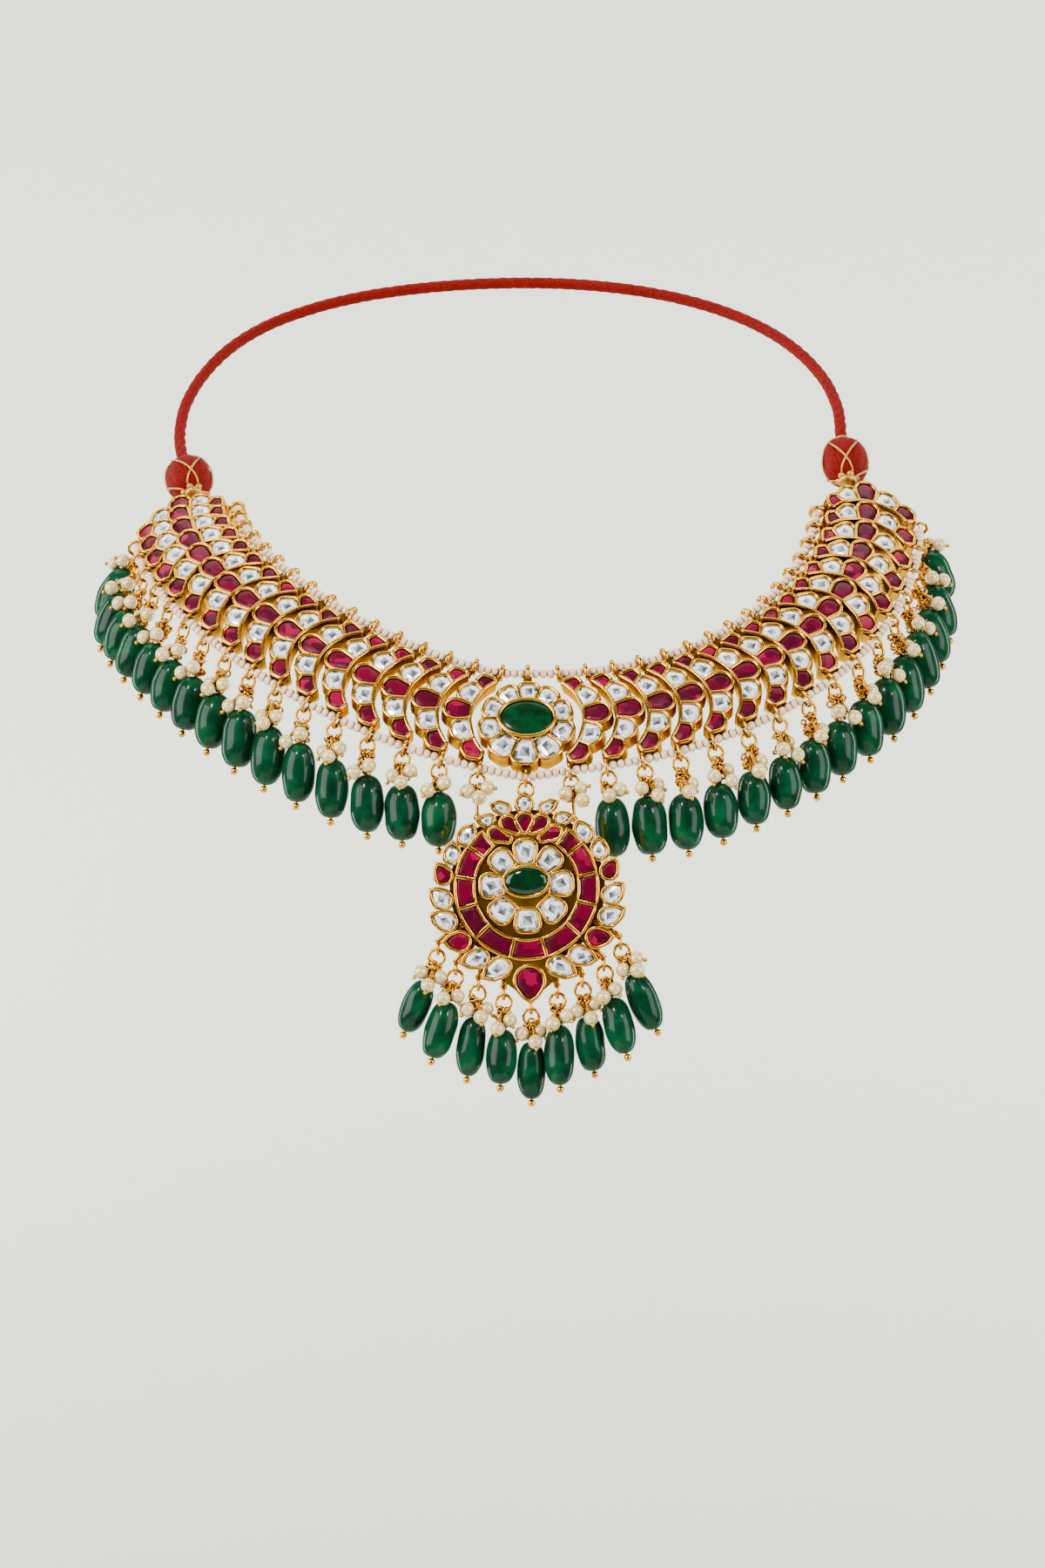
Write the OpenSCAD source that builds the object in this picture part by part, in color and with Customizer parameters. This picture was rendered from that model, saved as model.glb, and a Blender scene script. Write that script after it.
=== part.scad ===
// Polki necklace: a band of crescent links round a centre flower, a round pendant that hangs from
// the flower, green drops, two thread balls and the cord round the back of the neck.
// The band lies on a slope round the neck opening. The neck plane leans, low in front.

/* [Band] */
// Links on each side of the centre flower
link_count = 16; // [4:1:16]
// Distance from one link to the next along the middle of the band
link_pitch = 7.63; // [7.6:0.01:8.4]
// Distance from the centre flower to the first link
first_link = 13.2; // [13:0.1:15]
// Turn of each link about its own length, which lifts its outer edge over the next one
link_lift = 10; // [0:1:14]
// Height of a gold tray
tray_height = 4; // [3.2:0.1:5]
// Width of the gold wall round a stone
wall = 0.8; // [0.5:0.05:0.9]

/* [Stones] */
// Depth of a stone's seat below the rim
seat_depth = 1.5; // [1.2:0.1:1.8]
// Gap between a stone and its seat
seat_gap = 0.12; // [0.1:0.01:0.2]
// Height of a stone's crown above its girdle
crown_height = 0.7; // [0.3:0.1:1]
// Size of a stone's table as a share of its outline
table_share = 0.55; // [0.4:0.05:0.7]

/* [Drops] */
// Length of a green bead
bead_length = 13.8; // [9:0.1:14]
// Width of a green bead
bead_width = 8.3; // [6:0.1:8.4]
// Distance from an eye to the middle of its green bead
drop_reach = 15; // [13:0.5:17]
// Thickness of the gold wire
wire = 0.76; // [0.5:0.02:0.8]
// Radius of a jump ring, to the middle of its wire
ring_radius = 1.75; // [1.6:0.05:2]

/* [Ends] */
// Width of a thread ball
ball_width = 11.6; // [9:0.2:13]
// Length of a thread ball
ball_length = 12.4; // [10:0.2:14]
// Thickness of the cord round the back of the neck
cord_width = 3; // [2:0.1:3.4]

/* [Neck] */
// Lean of the neck plane, with its front low
neck_lean = 38; // [30:1:45]
// Tip of the neck plane to one side
neck_tip = 2.5; // [0:0.5:4]

/* [Hidden] */
// Middle of the neck opening, measured from the centre flower in the neck plane
neck_middle = [-6, 74, 3];
clear = 0.1;
top_string_width = 1.9;
low_string_width = 1.1;
round_sides = 48;

// Stones of a link in its own plane, from the top: ruby, polki, ruby, polki, ruby. Each is the shape
// round its circles, given anticlockwise as x, y and radius
LINK_STONES = [
    [[-3.3, 10.25, 0.3], [-1.69, 8, 0.3], [-0.25, 9.35, 0.3], [-1.5, 9.65, 1.25]],
    [[-0.85, 6.73, 0.4], [0.29, 3.89, 0.4], [1.8, 5.55, 1.72], [0.7, 7.15, 1.1]],
    [[0.49, 2.35, 0.35], [0.26, -0.04, 0.35], [3.55, 0.9, 2.3]],
    [[-0.05, -1.58, 0.4], [-1.2, -5.1, 0.4], [0.75, -5.55, 1.05], [1.6, -4.7, 1.45], [1.75, -3.75, 1.72]],
    [[-2.05, -6.4, 0.35], [-4.18, -8.45, 0.35], [-3.7, -10, 0.4], [-2.2, -9.2, 1.35],
        [-1.4, -8.35, 1.3], [-0.35, -7.46, 0.35]],
];
// Middle and radius of the hollow edge of a link, and the places of its two eyes
HOLLOW_MIDDLE = [-12.1, 1.1];
HOLLOW_RADIUS = 11.65;
TOP_EYE = [-4.8, 13.8, -2];
LOW_EYE = [-4.9, -12.4, -1.6];
TOP_EYE_RADIUS = 1.65;
LOW_EYE_RADIUS = 1.86;

// Centre flower
FLOWER_HEADING = 3.3;
FLOWER_PETALS = 10;
FLOWER_STONE = [6.05, 4.5];
FLOWER_DISC = 8.4;
PETAL_WALL = 0.74;
// Height and width of the raised wall round an oval stone
FLOWER_BEZEL = 0.9;
PENDANT_BEZEL = 0.7;
BEZEL_WALL = 0.7;
FLOWER_TOP_EYE = [0, 13.3, -2];
FLOWER_LOW_EYE = [0, -14.6, -1.6];

// Pendant: leaves round its edge, on the right from top to bottom.
// Columns: stone, place round the edge, distance, direction of the tip, round radius, tip distance
LEAVES = [
    ["polki", 15.3, 18.7, 65, 1.75, 3.3],
    ["polki", 28.8, 17.6, 84, 1.8, 2.9],
    ["polki", 47.3, 17.9, -28, 2.45, 3.3],
    ["polki", 64.1, 18.6, -2, 2.35, 3.2],
    ["ruby", 79.6, 19.3, 27, 2.35, 3.3],
    ["polki", 95.9, 19.6, 48, 2.6, 3.7],
    ["polki", 110.6, 20.0, 65, 2.65, 4.1],
    ["ruby", 126.7, 19.7, 88, 2.65, 3.95],
    ["polki", 143.4, 19.6, 105, 2.6, 4.3],
    ["polki", 159.4, 19.2, 120, 2.65, 4.9],
];
TOP_LEAF = ["polki", 0, 19.3, 0, 2.3, 2.6];
LOW_LEAF = ["ruby", 180, 21.5, 180, 3.8, 4.85];
LEAF_WALL = 0.7;
// Radius of a leaf's tip, of its setting and of its stone, and how far the stone's tip stays inside
LEAF_TIP = 0.25;
LEAF_STONE_TIP = 0.15;
LEAF_STONE_BACK = 0.85;
// How far a leaf is drawn back along its own direction
LEAF_SHIFT = 0.35;
// Swell of a leaf's sides, as a share of what its tip reaches out, and where between its round and its tip
LEAF_SWELL = 0.25;
LEAF_SWELL_PLACE = 0.45;
// Leaves this narrow or narrower have their stones outside this model
SMALL_LEAF = 1.8;
// Edges of the ruby blocks, as directions from the top of the pendant
BLOCK_EDGES = [165, 133, 106, 79.5, 53, 37];
BLOCK_RING = [12.3, 15.9];
BLOCK_WALL = 0.7;
RING_OUTER = 16.7;
RING_INNER = 11.6;
// Small rubies of the fan on the right, and the tear in its middle: circles as for a link's stones
FAN_STONES = [
    [[1.7, 12.95, 0.45], [3.75, 14.75, 1.45]],
    [[3.9, 11.05, 0.5], [6.75, 12.35, 1.3]],
];
FAN_TEAR = [[0, 12.9, 0.2], [0, 15.1, 1.7]];
PENDANT_STONE = [4.9, 3.1];
PENDANT_FLOWER_RISE = 0.7;
FRINGE_STEP = 14.4;
FRINGE_RADIUS = 24.6;
FRINGE_LOW = 27.2;
EDGE_HEIGHT = 3.6;
BACK_PLATE = 1.2;
BACK_RADIUS = 17.7;
// Disc under the pendant's flower, the plate behind its fan and the plate behind its lowest leaf
PENDANT_DISC = 7.4;
FAN_PLATE = [[-7, 11.5], [0, 10.6], [7, 11.5], [4, 14], [-4, 14]];
LOW_PLATE = [[0, -26], [-5.6, -21.3], [-5.6, -16], [5.6, -16], [5.6, -21.3]];
FAN_WALL = 0.65;
PENDANT_PETALS = 8;

// Names
function two_digits(n) = n < 10 ? str("0", n) : str(n);
function link_name(side, place) = str("link_", side > 0 ? "right_" : "left_", two_digits(place + 1));
SIDES = [-1, 1];

// Turning and measuring
function about_x(a, p) = [p[0], p[1]*cos(a) - p[2]*sin(a), p[1]*sin(a) + p[2]*cos(a)];
function about_y(a, p) = [p[0]*cos(a) + p[2]*sin(a), p[1], p[2]*cos(a) - p[0]*sin(a)];
function about_z(a, p) = [p[0]*cos(a) - p[1]*sin(a), p[0]*sin(a) + p[1]*cos(a), p[2]];
function unit(v) = v/norm(v);
function middle(points) = [for (k = [0:len(points[0]) - 1]) sum([for (p = points) p[k]])/len(points)];
function sum(list, i = 0) = i == len(list) ? 0 : list[i] + sum(list, i + 1);
function from_top(direction, distance) = distance*[sin(direction), cos(direction)];

// The band's course: heading, rise and slope of a link, counted outwards from the first
function heading(side, n) = side > 0
    ? 12 + 5.2*n + 0.02*n*n
    : 5.5 + 6.6*n - 0.33*n*n + 0.0158*n*n*n;
function rise(side, n) = side > 0 ? 0.1*n + 0.037*n*n - 0.0009*n*n*n : 1.4*n - 0.0055*n*n*n;
function slope(n) = 66.7 + 1.69*n - 0.087*n*n;
function lift(side, n) = side > 0 ? link_lift : link_lift*(1 - 0.1*max(0, n - 9));
function slant(side, n) = side > 0 ? -1.2 - 0.78*n + 0.088*n*n : 2.4 - 0.2*n - 0.04*n*n;
function plan(side, n) = n == 0
    ? first_link*[cos(heading(side, 0)/2), sin(heading(side, 0)/2)]
    : plan(side, n - 1) + link_pitch*[cos(heading(side, n - 0.5)), sin(heading(side, n - 0.5))];
function link_place(side, n) = [plan(side, n)[0], plan(side, n)[1], rise(side, n)];

// From the neck plane to the necklace's own frame, whose origin is the middle of the neck opening
function leant(p) = about_y(neck_tip, about_x(neck_lean, p));
function in_frame(p) = leant(p - neck_middle);
function mirrored(side, p) = [side*p[0], p[1], p[2]];
function turned_as_link(side, n, p) =
    about_z(heading(side, n), about_x(90 - slope(n), about_y(-lift(side, n), about_z(slant(side, n), p))));
function on_link(side, n, p) = in_frame(mirrored(side, link_place(side, n) + turned_as_link(side, n, p)));
function along_link(side, n, p) = leant(mirrored(side, turned_as_link(side, n, p)));
function along_flower(p) = leant(about_z(FLOWER_HEADING, about_x(90 - slope(0), p)));
function on_flower(p) = in_frame([0, 0, 0]) + along_flower(p);

module to_frame() rotate([neck_lean, neck_tip, 0]) translate(-neck_middle) children();
module on_side(side) {
    if (side > 0) children();
    else mirror([1, 0, 0]) children();
}
module to_link(side, n)
    to_frame() on_side(side) translate(link_place(side, n)) rotate([0, 0, heading(side, n)])
        rotate([90 - slope(n), 0, 0]) rotate([0, -lift(side, n), 0]) rotate([0, 0, slant(side, n)])
            children();
module to_flower()
    to_frame() rotate([0, 0, FLOWER_HEADING]) rotate([90 - slope(0), 0, 0]) children();

// Direction in which the straight side between two circles faces
function facing(a, b) =
    atan2(b[1] - a[1], b[0] - a[0]) - acos((a[2] - b[2])/norm([b[0] - a[0], b[1] - a[1]]));
// Outline round circles, grown by grow, with a corner for each step of so many degrees
function round_outline(circles, grow = 0, step = 45) =
    let (n = len(circles))
    [for (i = [0:n - 1])
        let (
            c = circles[i],
            start = facing(circles[(i + n - 1)%n], c),
            turn = (facing(c, circles[(i + 1)%n]) - start + 720)%360,
            steps = max(1, round(turn/step))
        )
        for (k = [0:steps]) let (t = start + k*turn/steps) [c[0], c[1]] + (c[2] + grow)*[cos(t), sin(t)]];
function oval_outline(size, grow = 0, steps = 16) =
    [for (i = [0:steps - 1]) [(size[0] + grow)*cos(360*i/steps), (size[1] + grow)*sin(360*i/steps)]];

// Solid through stacked outlines, each with the same number of points
module loft(rings) {
    n = len(rings[0]);
    last = (len(rings) - 1)*n;
    polyhedron(
        points = [for (ring = rings) each ring],
        faces = concat(
            [[for (i = [0:n - 1]) i]],
            [for (r = [0:len(rings) - 2], i = [0:n - 1])
                [r*n + i, (r + 1)*n + i, (r + 1)*n + (i + 1)%n, r*n + (i + 1)%n]],
            [[for (i = [n - 1:-1:0]) last + i]]
        ),
        convexity = 4
    );
}
function raised(outline, z, share = 1) =
    let (c = middle(outline)) [for (p = outline) [each c + share*(p - c), z]];

// A cut stone: a flat girdle band, a ring of crown facets and a flat table. Its rim is at height 0
module cut_stone(outline) {
    loft([
        raised(outline, clear - seat_depth),
        raised(outline, -0.3),
        raised(outline, crown_height - 0.3, table_share),
    ]);
}
module seat(outline) translate([0, 0, -seat_depth]) linear_extrude(seat_depth + 1) polygon(outline);

// A round wire ring in the plane of x and z
module wire_ring(radius) rotate([90, 0, 0]) rotate_extrude($fn = round_sides)
    translate([radius, 0]) circle(r = wire/2, $fn = 24);
// An eye that a string passes through along x
module eye(place, radius) translate(place) rotate([0, 0, 90]) wire_ring(radius);
module block(low, high) translate(low) cube(high - low);

// Wall along the hollow edge of a link, which ties its stone settings together
SPINE_RADIUS = 12.4;
SPINE_ENDS = [-50, 48];
SPINE_STEPS = 12;
function on_spine(radius, share) =
    let (a = SPINE_ENDS[0] + share*(SPINE_ENDS[1] - SPINE_ENDS[0]))
    HOLLOW_MIDDLE + radius*[cos(a), sin(a)];
function spine_outline() = concat(
    [for (i = [0:SPINE_STEPS]) on_spine(SPINE_RADIUS, i/SPINE_STEPS)],
    [for (i = [SPINE_STEPS:-1:0]) on_spine(HOLLOW_RADIUS - 1, i/SPINE_STEPS)]
);

// One link: a gold tray with a seat for each stone, an eye above and an eye below
module link(side, n) color("goldenrod") to_link(side, n) {
    difference() {
        union() {
            translate([0, 0, -tray_height]) linear_extrude(tray_height) difference() {
                union() {
                    for (circles = LINK_STONES) polygon(round_outline(circles, wall, 15));
                    polygon(spine_outline());
                }
                translate(HOLLOW_MIDDLE) circle(r = HOLLOW_RADIUS, $fn = 96);
            }
            block([-4.6, 10.8, -2.6], [-2.7, 12.4, -1.4]);
            block([-5.3, -11, -2.6], [-3.4, -9.2, -0.6]);
        }
        for (circles = LINK_STONES) seat(round_outline(circles, seat_gap));
    }
    eye(TOP_EYE, TOP_EYE_RADIUS);
    eye(LOW_EYE, LOW_EYE_RADIUS);
}
module link_stones(side, shade, rows) color(shade)
    for (n = [0:link_count - 1], i = rows) to_link(side, n) cut_stone(round_outline(LINK_STONES[i]));

// A circle of a petal, and two that leave half a wall's width to the line midway to the next petal
function petal_circle(a, distance, radius) = [distance*cos(a), distance*sin(a), radius];
function petal_circles(a, distance, radius, half_step, half_wall) =
    let (off = half_step - asin((radius + half_wall)/distance))
    [petal_circle(a + off, distance, radius), petal_circle(a - off, distance, radius)];

// Centre flower: petals round an oval stone, shorter above than below
function flower_petal(i) =
    let (
        a = 88 - 360*i/FLOWER_PETALS,
        outer = 10.35 - 1.02*sin(a) + 0.13*cos(a)*cos(a),
        wide = 0.145*outer,
        oval = 1/norm([cos(a)/FLOWER_STONE[0], sin(a)/FLOWER_STONE[1]]),
        far = petal_circles(a, outer - wide, wide, 180/FLOWER_PETALS, PETAL_WALL/2)
    )
    concat(petal_circles(a, oval + 1.25, 0.3, 180/FLOWER_PETALS, PETAL_WALL/2), [far[1], far[0]]);
module center_flower() color("goldenrod") to_flower() {
    difference() {
        union() {
            translate([0, 0, -tray_height]) linear_extrude(tray_height) union() {
                for (i = [0:FLOWER_PETALS - 1]) polygon(round_outline(flower_petal(i), PETAL_WALL, 15));
                circle(r = FLOWER_DISC, $fn = 96);
            }
            linear_extrude(FLOWER_BEZEL) polygon(oval_outline(FLOWER_STONE, BEZEL_WALL, 48));
            block([-1, 10, -3], [1, 12, -1]);
            block([-1, -13.3, -2.6], [1, -10.5, -0.6]);
        }
        for (i = [0:FLOWER_PETALS - 1]) seat(round_outline(flower_petal(i), seat_gap));
        translate([0, 0, FLOWER_BEZEL]) seat(oval_outline(FLOWER_STONE, seat_gap));
    }
    eye(FLOWER_TOP_EYE, TOP_EYE_RADIUS);
    eye(FLOWER_LOW_EYE, LOW_EYE_RADIUS);
}
module center_emerald() color("darkgreen") to_flower()
    translate([0, 0, FLOWER_BEZEL]) cut_stone(oval_outline(FLOWER_STONE));

// A string or cord swept along its route, with lift as a direction it never runs along
function route_turn(points, i) =
    unit(points[min(i + 1, len(points) - 1)] - points[max(i - 1, 0)]);
function route_ring(points, i, radius, sides, lift) =
    let (
        t = route_turn(points, i),
        across = unit(cross(lift, t)),
        up = cross(t, across)
    )
    [for (k = [0:sides - 1]) points[i] + radius*(cos(360*k/sides)*across + sin(360*k/sides)*up)];
module swept(points, width, sides = 8)
    loft([for (i = [0:len(points) - 1]) route_ring(points, i, width/2, sides, leant([0, 0, 1]))]);

// Where a string lies in an eye, and where the wire at the bottom of the eye is, from which a ring hangs
function eye_low(across) = unit([0, 0, -1] + across[2]*across);
function string_in_eye(place, across, rise) = place - rise*eye_low(across);
function eye_bottom(place, across) = place + LOW_EYE_RADIUS*eye_low(across);
RING_GAP = 0.2;
module hung() translate([0, 0, wire + RING_GAP]) children();
function link_across(side, n) = along_link(side, n, [1, 0, 0]);
function flower_across() = along_flower([1, 0, 0]);
STRING_RISE = 0.3;
function low_string_point(side, n) =
    string_in_eye(on_link(side, n, LOW_EYE), link_across(side, n), STRING_RISE);

function backwards(list) = [for (i = [len(list) - 1:-1:0]) list[i]];
// The points of a route with one more between each two, on the curve through them
function with_midpoints(points) =
    let (last = len(points) - 1)
    [for (i = [0:last]) each i == 0 ? [points[0]] : [
        (9*points[i - 1] + 9*points[i] - points[max(i - 2, 0)] - points[min(i + 1, last)])/16,
        points[i]
    ]];
// Ends of the strings round the last link, in that link's plane
TOP_STRING_END = [[-3, 14, -3.4], [-0.9, 12.8, -5.2], [2.6, 9.6, -5.6], [6.2, 6.4, -4.6]];
LOW_STRING_END = [[-3.2, -12, -1.6], [-1.6, -12.6, -2.7], [-0.6, -11.8, -4.7], [-0.2, -9.2, -5.6],
    [2.6, -3.4, -5.6], [6, 1.6, -4.8]];
function side_string(side, points, tail) =
    concat(points, [for (p = tail) on_link(side, link_count - 1, p)]);
module top_seed_string() color("antiquewhite") swept(with_midpoints(concat(
    backwards(side_string(-1, [for (n = [0:link_count - 1]) on_link(-1, n, TOP_EYE)], TOP_STRING_END)),
    [on_flower(FLOWER_TOP_EYE)],
    side_string(1, [for (n = [0:link_count - 1]) on_link(1, n, TOP_EYE)], TOP_STRING_END)
)), top_string_width);
module low_seed_string() color("antiquewhite") swept(with_midpoints(concat(
    backwards(side_string(-1, [for (n = [0:link_count - 1]) low_string_point(-1, n)], LOW_STRING_END)),
    [string_in_eye(on_flower(FLOWER_LOW_EYE), flower_across(), STRING_RISE/2)],
    side_string(1, [for (n = [0:link_count - 1]) low_string_point(1, n)], LOW_STRING_END)
)), low_string_width);

// Drops: a jump ring, a wrapped stem and a pin with a ball, and the bead on it.
// Each hangs from the top of its ring, turned to face as the eye asks and leaning outwards
BALL_RADIUS = 0.85;
WRAP_RADIUS = 0.75;
WRAP_LENGTH = 2.6;
module drop_wire(reach, half_bead) {
    foot = reach + half_bead + clear + BALL_RADIUS;
    wrap_low = reach - half_bead - 0.3;
    wrap_top = max(wrap_low - WRAP_LENGTH, 2*ring_radius + 0.3);
    translate([0, 0, -ring_radius]) wire_ring(ring_radius);
    translate([0, 0, -foot]) cylinder(h = foot - 2*ring_radius, d = wire, $fn = 24);
    translate([0, 0, -wrap_low]) cylinder(h = wrap_low - wrap_top, r = WRAP_RADIUS, $fn = 24);
    translate([0, 0, -foot]) sphere(r = BALL_RADIUS, $fn = 24);
}
module green_bead(width, length) {
    bore = wire/2 + 0.15;
    rotate_extrude($fn = round_sides) polygon(concat(
        [[bore, -length/2], [width/2*0.42, -length/2]],
        [for (t = [-60:20:60]) [width/2*pow(cos(t), 0.42), length/2*sin(t)/sin(72)]],
        [[width/2*0.42, length/2], [bore, length/2]]
    ));
}
// A size that differs from bead to bead, between 1 - spread and 1
function varied(seed, spread) = 1 - spread*(0.5 + 0.5*sin(seed*137.5));
function link_lean(side, n) = side > 0
    ? 5 + 2.6*max(0, n - 8)
    : 2.25*max(0, n - 3);
module to_link_drop(side, n) {
    across = link_across(side, n);
    translate(eye_bottom(on_link(side, n, LOW_EYE), across))
        rotate([0, -side*link_lean(side, n), 0]) rotate([0, 0, atan2(across[1], across[0])])
            hung() children();
}
// Drops are shorter near the flower and at the last link
function link_reach(n) = drop_reach - 1.1*max(0, 3 - n) - (n == link_count - 1 ? 3 : 0);
FIRST_REACH = 7.6;
FIRST_HALF_BEAD = 1.6;
function link_bead(side, n) =
    [bead_width*varied(3*n + side, 0.06), bead_length*varied(5*n + 2*side, 0.1)];
module drop_wires(side) color("goldenrod") for (n = [0:link_count - 1]) to_link_drop(side, n)
    drop_wire(n == 0 ? FIRST_REACH : link_reach(n), n == 0 ? FIRST_HALF_BEAD : link_bead(side, n)[1]/2);
module green_beads(side) color("seagreen") for (n = [1:link_count - 1]) to_link_drop(side, n)
    translate([0, 0, -link_reach(n)]) green_bead(link_bead(side, n)[0], link_bead(side, n)[1]);

// The joint between flower and pendant: a ring in the flower's low eye, and a loop in the ring
SWAY_POINT = eye_bottom(on_flower(FLOWER_LOW_EYE), flower_across());
RING_MIDDLE = SWAY_POINT + [0, 0, wire + RING_GAP - ring_radius];
SWING_POINT = RING_MIDDLE - [0, 0, ring_radius];
LOOP_RADIUS = 1.35;
LOOP_MIDDLE = SWING_POINT + [0, 0, wire + RING_GAP - LOOP_RADIUS];
module jump_ring() color("goldenrod") translate(RING_MIDDLE) wire_ring(ring_radius);

// Pendant: x to the right, y up, z to the front, from the middle of its ruby ring
LOOP_HEIGHT = 20.1;
LOOP_BACK = 3.2;
PENDANT_TURN = -1.8;
module to_pendant() translate(LOOP_MIDDLE) rotate([0, PENDANT_TURN, 0]) rotate([90, 0, 0])
    translate([0, -LOOP_HEIGHT, LOOP_BACK]) children();
function leaf_row(leaf, side, radius, tip, tip_radius) =
    let (
        c = from_top(leaf[1], leaf[2]) - from_top(leaf[3], LEAF_SHIFT),
        t = c + from_top(leaf[3], tip - tip_radius),
        m = c + LEAF_SWELL_PLACE*(t - c),
        narrower = LEAF_SWELL_PLACE*(tip_radius - radius),
        swell = [side*m[0], m[1], radius + narrower + LEAF_SWELL*(tip - radius)]
    )
    [[side*t[0], t[1], tip_radius], swell, [side*c[0], c[1], radius], swell];
function leaf_tray(leaf, side) = leaf_row(leaf, side, leaf[4], leaf[5] + LEAF_SHIFT, LEAF_TIP);
function leaf_stone(leaf, side) =
    leaf_row(leaf, side, leaf[4] - LEAF_WALL, leaf[5] - LEAF_STONE_BACK, LEAF_STONE_TIP);
function all_leaves() =
    concat([[TOP_LEAF, 1], [LOW_LEAF, 1]], [for (side = SIDES, leaf = LEAVES) [leaf, side]]);
function fan_stones() = concat([FAN_TEAR],
    [for (side = SIDES, circles = FAN_STONES) [for (c = circles) mirrored(side, c)]]);
function pendant_petal(i) =
    let (
        a = 90 - 360*i/PENDANT_PETALS,
        near = petal_circles(a, 5.9 - 0.45*sin(a), 0.35, 180/PENDANT_PETALS, 0.45),
        far = petal_circles(a, 8.7 - 0.35*sin(a), 1.55, 180/PENDANT_PETALS, 0.95)
    )
    [for (c = [near[0], near[1], far[1], far[0]]) c + [0, PENDANT_FLOWER_RISE, 0]];
// A block of the ruby ring between two directions from the top
function block_outline(from, to, grow = 0) =
    let (
        inner = BLOCK_RING[0] - grow,
        outer = BLOCK_RING[1] + grow,
        trim = [(BLOCK_WALL/2 - grow)/inner*180/PI, (BLOCK_WALL/2 - grow)/outer*180/PI]
    )
    concat(
        [for (i = [0:3]) from_top(to - trim[1] + i*(from - to + 2*trim[1])/3, outer)],
        [for (i = [3:-1:0]) from_top(to - trim[0] + i*(from - to + 2*trim[0])/3, inner)]
    );
BLOCKS = concat(
    [[BLOCK_EDGES[0], 360 - BLOCK_EDGES[0]]],
    [for (i = [1:len(BLOCK_EDGES) - 1]) [BLOCK_EDGES[i], BLOCK_EDGES[i - 1]]],
    [for (i = [1:len(BLOCK_EDGES) - 1]) [360 - BLOCK_EDGES[i - 1], 360 - BLOCK_EDGES[i]]]
);
function fringe_place(i) =
    let (low = abs(i) < 1) from_top(180 - i*FRINGE_STEP, low ? FRINGE_LOW : FRINGE_RADIUS);
function fringe_lean(i) = 0.055*fringe_place(i)[0]*abs(fringe_place(i)[0]);
FRINGE_Z = 1.5;
FRINGE_TILT = 4.6;

module pendant_setting() color("goldenrod") to_pendant() {
    difference() {
        union() {
            cylinder(h = BACK_PLATE, r = BACK_RADIUS, $fn = 128);
            linear_extrude(tray_height) difference() {
                circle(r = RING_OUTER, $fn = 128);
                circle(r = RING_INNER, $fn = 128);
            }
            linear_extrude(tray_height) union() {
                for (i = [0:PENDANT_PETALS - 1]) polygon(round_outline(pendant_petal(i), PETAL_WALL, 15));
                translate([0, PENDANT_FLOWER_RISE]) circle(r = PENDANT_DISC, $fn = 96);
                for (circles = fan_stones()) polygon(round_outline(circles, FAN_WALL, 20));
                polygon(FAN_PLATE);
            }
            translate([0, 2*PENDANT_FLOWER_RISE, 0]) linear_extrude(tray_height + PENDANT_BEZEL)
                polygon(oval_outline(PENDANT_STONE, BEZEL_WALL, 40));
            linear_extrude(EDGE_HEIGHT) union() {
                for (pair = all_leaves()) polygon(round_outline(leaf_tray(pair[0], pair[1]), 0, 20));
                polygon(LOW_PLATE);
            }
        }
        translate([0, 0, tray_height]) {
            for (i = [0:PENDANT_PETALS - 1]) seat(round_outline(pendant_petal(i), seat_gap));
            for (circles = fan_stones()) seat(round_outline(circles, seat_gap));
            for (b = BLOCKS) seat(block_outline(b[0], b[1], seat_gap));
        }
        translate([0, 2*PENDANT_FLOWER_RISE, tray_height + PENDANT_BEZEL])
            seat(oval_outline(PENDANT_STONE, seat_gap));
        translate([0, 0, EDGE_HEIGHT])
            for (pair = all_leaves()) seat(round_outline(leaf_stone(pair[0], pair[1]), seat_gap));
    }
    for (i = [-4:4]) translate([each fringe_place(i), FRINGE_Z]) {
        eye([0, 0, 0], FRINGE_EYE_RADIUS);
        translate([0, FRINGE_EYE_RADIUS, 0]) rotate(i*FRINGE_STEP - 180)
            block([-0.45, -7.8, -0.7], [0.45, 0.3, 0.5]);
    }
    eye([0, LOOP_HEIGHT, -LOOP_BACK], LOOP_RADIUS);
    block([-0.9, LOOP_HEIGHT - 2.6, -2.5], [0.9, LOOP_HEIGHT - 0.9, 1]);
}
// The stones of the leaves that are wider than least
module leaf_stones(kind, least = 0) translate([0, 0, EDGE_HEIGHT]) for (pair = all_leaves())
    if (pair[0][0] == kind && pair[0][4] > least) cut_stone(round_outline(leaf_stone(pair[0], pair[1])));
module pendant_polki() color("white") to_pendant() leaf_stones("polki", SMALL_LEAF);
module pendant_rubies() color("crimson") to_pendant() {
    translate([0, 0, tray_height]) for (b = BLOCKS) cut_stone(block_outline(b[0], b[1]));
    leaf_stones("ruby");
}
module pendant_emerald() color("darkgreen") to_pendant()
    translate([0, 2*PENDANT_FLOWER_RISE, tray_height + PENDANT_BEZEL]) cut_stone(oval_outline(PENDANT_STONE));

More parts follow.
